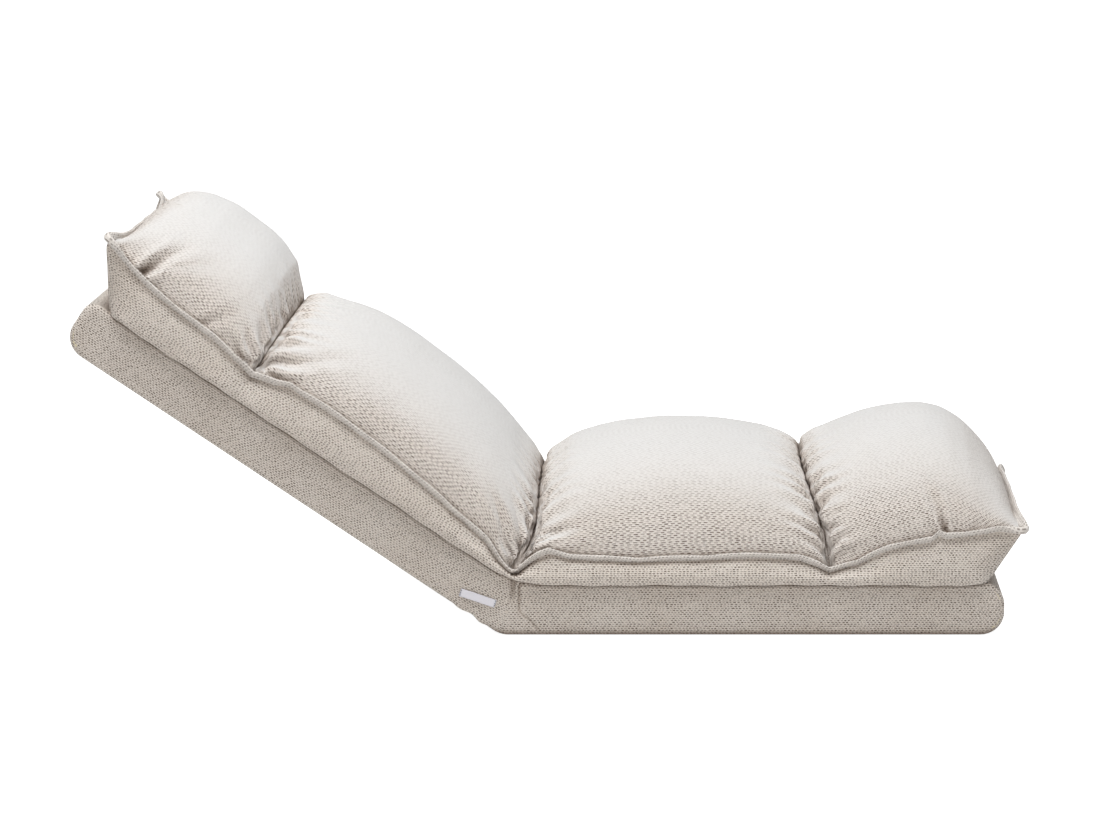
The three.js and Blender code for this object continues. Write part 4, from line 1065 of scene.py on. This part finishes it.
def woven(name, light, mid, gap_and_shade, float_pitch, nook_shade=0.75):
    material, tree = new_material(name)
    place = add(tree, "UVMap", uv_map="cloth")
    crown = add(tree, "Attribute", attribute_name="crown").outputs["Fac"]
    # Rows and floats, a little uneven in place.
    wander = add(tree, "TexNoise", {"Vector": place, "Scale": 70.0, "Detail": 2.0})
    centred = add(tree, "VectorMath", {0: wander.outputs["Color"], 1: (0.5, 0.5, 0.5)}, operation="SUBTRACT")
    moved = add(tree, "VectorMath", {0: centred, 1: (0.0060, 0.0024, 0)}, operation="MULTIPLY")
    at = add(tree, "VectorMath", {0: place, 1: moved}, operation="ADD")
    split = add(tree, "SeparateXYZ", {0: at})
    v = add(tree, "Math", {0: split.outputs["Y"], 1: row_pitch}, operation="DIVIDE")
    row = add(tree, "Math", {0: v}, operation="FLOOR")
    odd = add(tree, "Math", {0: row, 1: 2.0}, operation="FLOORED_MODULO")
    row_chance = add(tree, "TexWhiteNoise", {"W": row}, noise_dimensions="1D")
    slip = add(tree, "Math", {0: row_chance.outputs["Value"], 1: 0.42}, operation="MULTIPLY")
    u = add(tree, "Math", {0: split.outputs["X"], 1: float_pitch}, operation="DIVIDE")
    stepped = add(tree, "Math", {0: odd, 1: 0.5, 2: u}, operation="MULTIPLY_ADD")
    shifted = add(tree, "Math", {0: stepped, 1: slip}, operation="ADD")
    cells = add(tree, "CombineXYZ", {"X": shifted, "Y": row})
    number = add(tree, "VectorMath", {0: cells}, operation="FLOOR")
    chance = add(tree, "TexWhiteNoise", {"Vector": number}, noise_dimensions="3D")
    # A gap lies in the middle of each cell, along the row and across it.
    off_middle, gaps = [], []
    for cell_count, gap_start in ((shifted, 0.20), (v, 0.10)):
        phase = add(tree, "Math", {0: cell_count}, operation="FRACT")
        signed = add(tree, "Math", {0: phase, 1: 0.5}, operation="SUBTRACT")
        off_middle.append(add(tree, "Math", {0: signed}, operation="ABSOLUTE"))
        gaps.append(add(tree, "MapRange", {"Value": off_middle[-1], "From Min": gap_start, "From Max": 0.36,
                                           "To Min": 1.0, "To Max": 0.0}, interpolation_type="SMOOTHSTEP"))
    hole = add(tree, "Math", {0: gaps[0], 1: gaps[1]}, operation="MULTIPLY")
    strength = add(tree, "MapRange", {"Value": chance.outputs["Value"], "To Min": 0.35, "To Max": 1.0})
    uneven = add(tree, "Math", {0: hole, 1: strength}, operation="MULTIPLY")
    # Painted light: where the cloth faces up its gaps are faded, as if light from above filled them.
    gaps_faded_by_painted_light = add(tree, "MapRange", {"Value": crown, "From Min": 0.35, "From Max": 0.90, "To Min": 1.0,
                                       "To Max": 0.22}, interpolation_type="SMOOTHSTEP")
    dark = add(tree, "Math", {0: uneven, 1: gaps_faded_by_painted_light}, operation="MULTIPLY")
    # Colour of the yarn, made paler where it faces up by painted light and darker in a crease by painted
    # shade.
    fibres = add(tree, "TexNoise", {"Vector": place, "Scale": 380.0, "Detail": 4.0, "Roughness": 0.7})
    broad = add(tree, "TexNoise", {"Vector": place, "Scale": 9.0, "Detail": 3.0})
    yarn = add(tree, "Math", {0: fibres, 1: 1.1, 2: -0.22}, operation="MULTIPLY_ADD")
    tone = add(tree, "Math", {0: broad, 1: 0.35, 2: yarn}, operation="MULTIPLY_ADD")
    body = add(tree, "ValToRGB", {"Fac": tone}, stops=((0.25, mid), (0.75, light)))
    facing_up = add(tree, "MapRange", {"Value": crown, "From Min": 0.45, "From Max": 0.95, "To Min": 0.0,
                                       "To Max": 0.8})
    with_painted_top_light = add(tree, "Mix", {"Factor": facing_up, 6: body, 7: linear(painted_top_light)}, data_type="RGBA")
    # Painted shade: ambient occlusion darkens and warms the colour deep in creases, under the lip and where
    # the topper meets the bases.
    nook = add(tree, "AmbientOcclusion", {"Distance": 0.035}, samples=6)
    shade = add(tree, "MapRange", {"Value": nook.outputs["AO"], "From Min": 0.15, "From Max": 0.80,
                                   "To Min": nook_shade, "To Max": 0.0})
    with_painted_crease_shade = add(tree, "Mix", {"Factor": shade, 6: with_painted_top_light.outputs[2], 7: linear(painted_crease_shade)},
                  data_type="RGBA")
    # The gaps' dark colour is partly the weave's own and partly painted shade under the floats.
    colour = add(tree, "Mix", {"Factor": dark, 6: with_painted_crease_shade.outputs[2], 7: linear(gap_and_shade)}, data_type="RGBA")
    # Relief: ribs along the rows, sunk gaps and fine fibres.
    ribs = add(tree, "Math", {0: off_middle[1], 1: 0.8}, operation="MULTIPLY")
    raised_yarn = add(tree, "Math", {0: ribs, 1: dark}, operation="SUBTRACT")
    height = add(tree, "Math", {0: fibres, 1: 0.9, 2: raised_yarn}, operation="MULTIPLY_ADD")
    relief = add(tree, "Bump", {"Height": height, "Strength": 0.8, "Distance": 0.0013})
    shader = add(tree, "BsdfPrincipled", {"Base Color": colour.outputs[2], "Normal": relief, "IOR": 1.45,
                                          "Roughness": 0.95, "Specular IOR Level": 0.2,
                                          "Sheen Weight": 0.15, "Sheen Roughness": 0.6})
    add(tree, "OutputMaterial", {"Surface": shader})
    return material


# The boxing copy is a shade darker and the seam copy a shade paler than the top cloth: painted shade on the
# gusset and bases, painted light on the lip, which also gets less painted crease shade. The finer pitch is
# the cloth's own.
chenille = woven("woven_chenille_cream", "#eee9e4", "#d9d0c7", "#5f4a3a", 0.0100)
boxing_cloth = woven("woven_chenille_boxing", "#ebe6e0", "#d2c7bb", "#544030", 0.0062)
seam_cloth = woven("woven_chenille_seam", "#f1ede8", "#ded6cd", "#544030", 0.0062, nook_shade=0.2)
print("made", chenille.name, boxing_cloth.name, "and", seam_cloth.name)

# %% [markdown]
# ## The other finishes
# Under the cloth are ordinary workshop finishes: spunbond polypropylene under the bases, which is matt and
# a little felted; cut polyurethane foam, matt with open cells; powder-coated tube, with a soft sheen and a
# faint pebble; and plates and wire plated with zinc, a bright metal that is slightly cloudy. The ribbon is
# woven satin, which shines along its length, and its thread is matt polyester. Noise scales are counted
# per metre, so 600 means specks of about 2 mm; the real grains are finer and are drawn this coarse to show.

# %% Simple finishes with grain
def grained(name, dark, light, scale, roughness, metallic=0.0, bump=0.2, stretch=(1, 1, 1)):
    material, tree = new_material(name)
    where = add(tree, "TexCoord").outputs["Object"]
    scaled = add(tree, "Mapping", {"Vector": where, "Scale": stretch})
    grain = add(tree, "TexNoise", {"Vector": scaled, "Scale": scale, "Detail": 5.0})
    tones = add(tree, "ValToRGB", {"Fac": grain}, stops=((0.3, dark), (0.7, light)))
    rough = add(tree, "MapRange", {"Value": grain, "To Min": roughness - 0.07, "To Max": roughness + 0.07})
    relief = add(tree, "Bump", {"Height": grain, "Strength": bump, "Distance": 0.0004})
    shader = add(tree, "BsdfPrincipled", {"Base Color": tones, "Normal": relief, "Roughness": rough,
                                          "Metallic": metallic})
    add(tree, "OutputMaterial", {"Surface": shader})
    return material


dust_cloth = grained("spunbond_polypropylene", "#a29d94", "#bdb8ae", 420.0, 0.9, bump=0.5)
pu_foam = grained("polyurethane_foam", "#d9cfae", "#efe7cc", 600.0, 0.92, bump=0.7)
powder_coat = grained("powder_coated_steel", "#26272a", "#313236", 900.0, 0.5, bump=0.3)
zinc = grained("zinc_plated_steel", "#a9acb0", "#c3c6ca", 160.0, 0.36, metallic=1.0, bump=0.1)
spring_steel = grained("zinc_plated_spring_wire", "#9b9da1", "#b7babd", 500.0, 0.3, metallic=1.0, bump=0.1)
ribbon = grained("satin_ribbon", "#dddde6", "#ecebf2", 700.0, 0.42, bump=0.25, stretch=(1, 1, 6))
thread = grained("navy_polyester_thread", "#262a40", "#3a3e55", 1500.0, 0.6)
print("finishes ready")

# %% [markdown]
# ## Finishes on the pieces
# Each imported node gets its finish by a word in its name, zinc unless it says otherwise. The topper's top
# cloth has the coarse weave and its gusset the finer one.

# %% Dress the pieces
finish_of = {"under_cloth": dust_cloth, "foam": pu_foam, "frame": powder_coat, "crossbar": powder_coat,
             "spring": spring_steel}
for name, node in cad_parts.items():
    node.data.materials.clear()
    chosen = next((finish for word, finish in finish_of.items() if word in name), zinc)
    node.data.materials.append(chosen)
for piece, finishes in ((cover, (chenille, boxing_cloth)), (lip, (seam_cloth,)), (base, (boxing_cloth,)),
                        (label, (ribbon,)), (stitches, (thread,))):
    piece.data.materials.clear()
    for finish in finishes:
        piece.data.materials.append(finish)
top_faces = (rows - 1) * columns
cloth_of_face = [int(i >= top_faces) for i in range(len(cover.data.polygons))]
cover.data.polygons.foreach_set("material_index", cloth_of_face)
print("dressed", len(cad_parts), "nodes and 5 pieces of cloth and ribbon")

# %% [markdown]
# ## Rides and replacements
# The topper and the base covers cross the fold; each has a reach either side of it, the topper's longer
# because it is thick, and its mesh is set in the chair's frame. The label and its stitches ride on the back.

# %% Rides
topper_bend, base_bend = 0.130, 0.055  # reach of each either side of the fold
fold_middle = np.array([hinge_x, 0.0, hinge_z])
across_fold = np.array([math.cos(raised / 2), 0.0, -math.sin(raised / 2)])
for piece, reach in ((cover, topper_bend), (lip, topper_bend), (base, base_bend)):
    start, end = fold_middle + across_fold * reach, fold_middle - across_fold * reach
    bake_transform(piece)
for piece in (label, stitches):
    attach(piece, "back")
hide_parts("seat_cushion", "leg_cushion", "back_cushion", "head_pillow")
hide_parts("seat_cover", "back_cover")
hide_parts("side_label")
print("bend of the topper", topper_bend, "m, of the bases", base_bend, "m each side of the fold")

# %% [markdown]
# ## Stage and light
# A white floor shows as white to the camera where nothing shades it, and an even pale world lights it all.

# %% Stage
def background_rays(tree):
    """1 for the rays that are to meet plain white: those of the camera, of gloss and of glass."""
    path = add(tree, "LightPath").outputs
    seen = add(tree, "Math", {0: path["Is Camera Ray"], 1: path["Is Glossy Ray"]}, operation="MAXIMUM")
    return add(tree, "Math", {0: seen, 1: path["Is Transmission Ray"]}, operation="MAXIMUM")


floor_mesh = bpy.data.meshes.new("floor")
floor_mesh.from_pydata([(-12, -12, 0), (12, -12, 0), (12, 30, 0), (-12, 30, 0)], [], [(0, 1, 2, 3)])
floor = bpy.data.objects.new("floor", floor_mesh)
floor.location.z = -0.0005
bpy.context.scene.collection.objects.link(floor)
paper, tree = new_material("paper_floor")
diffuse = add(tree, "BsdfDiffuse", {"Color": linear("#e8e8e8")})
glow = add(tree, "Emission", {"Color": (1, 1, 1, 1), "Strength": 0.93})
lit = add(tree, "AddShader", {0: diffuse, 1: glow})
both = add(tree, "MixShader", {0: background_rays(tree), 1: diffuse, 2: lit})
add(tree, "OutputMaterial", {"Surface": both})
floor.data.materials.append(paper)

world = bpy.data.worlds.new("studio")
world.use_nodes = True
tree = world.node_tree
tree.nodes.clear()
soft = add(tree, "Background", {"Color": (1, 1, 1, 1), "Strength": 0.30})
white = add(tree, "Background", {"Color": (1, 1, 1, 1), "Strength": 1.0})
both = add(tree, "MixShader", {0: background_rays(tree), 1: soft, 2: white})
add(tree, "OutputWorld", {"Surface": both})
bpy.context.scene.world = world
print("floor at", floor.location.z, "m")

# %% [markdown]
# ## Lamps
# A wide soft lamp hangs above, as over a studio table, and a weak warm one stands in front.

# %% Lamps
def lamp(name, place, aim, size, power, colour):
    data = bpy.data.lights.new(name, "AREA")
    data.shape = "RECTANGLE"
    data.size, data.size_y = size
    data.energy = power
    data.color = linear(colour)[:3]
    thing = bpy.data.objects.new(name, data)
    thing.location = place
    thing.rotation_euler = (Vector(aim) - Vector(place)).to_track_quat("-Z", "Y").to_euler()
    bpy.context.scene.collection.objects.link(thing)


lamp("overhead_softbox", (-0.5, -0.8, 4.5), (-0.4, 0.0, 0.2), (4.4, 2.8), 190, "#ffffff")
lamp("front_fill", (-0.9, -4.0, 2.1), (-0.5, 0, 0.2), (3.0, 1.6), 24, "#ffeee0")
bpy.context.scene.view_settings.view_transform = "Standard"
print("two lamps")
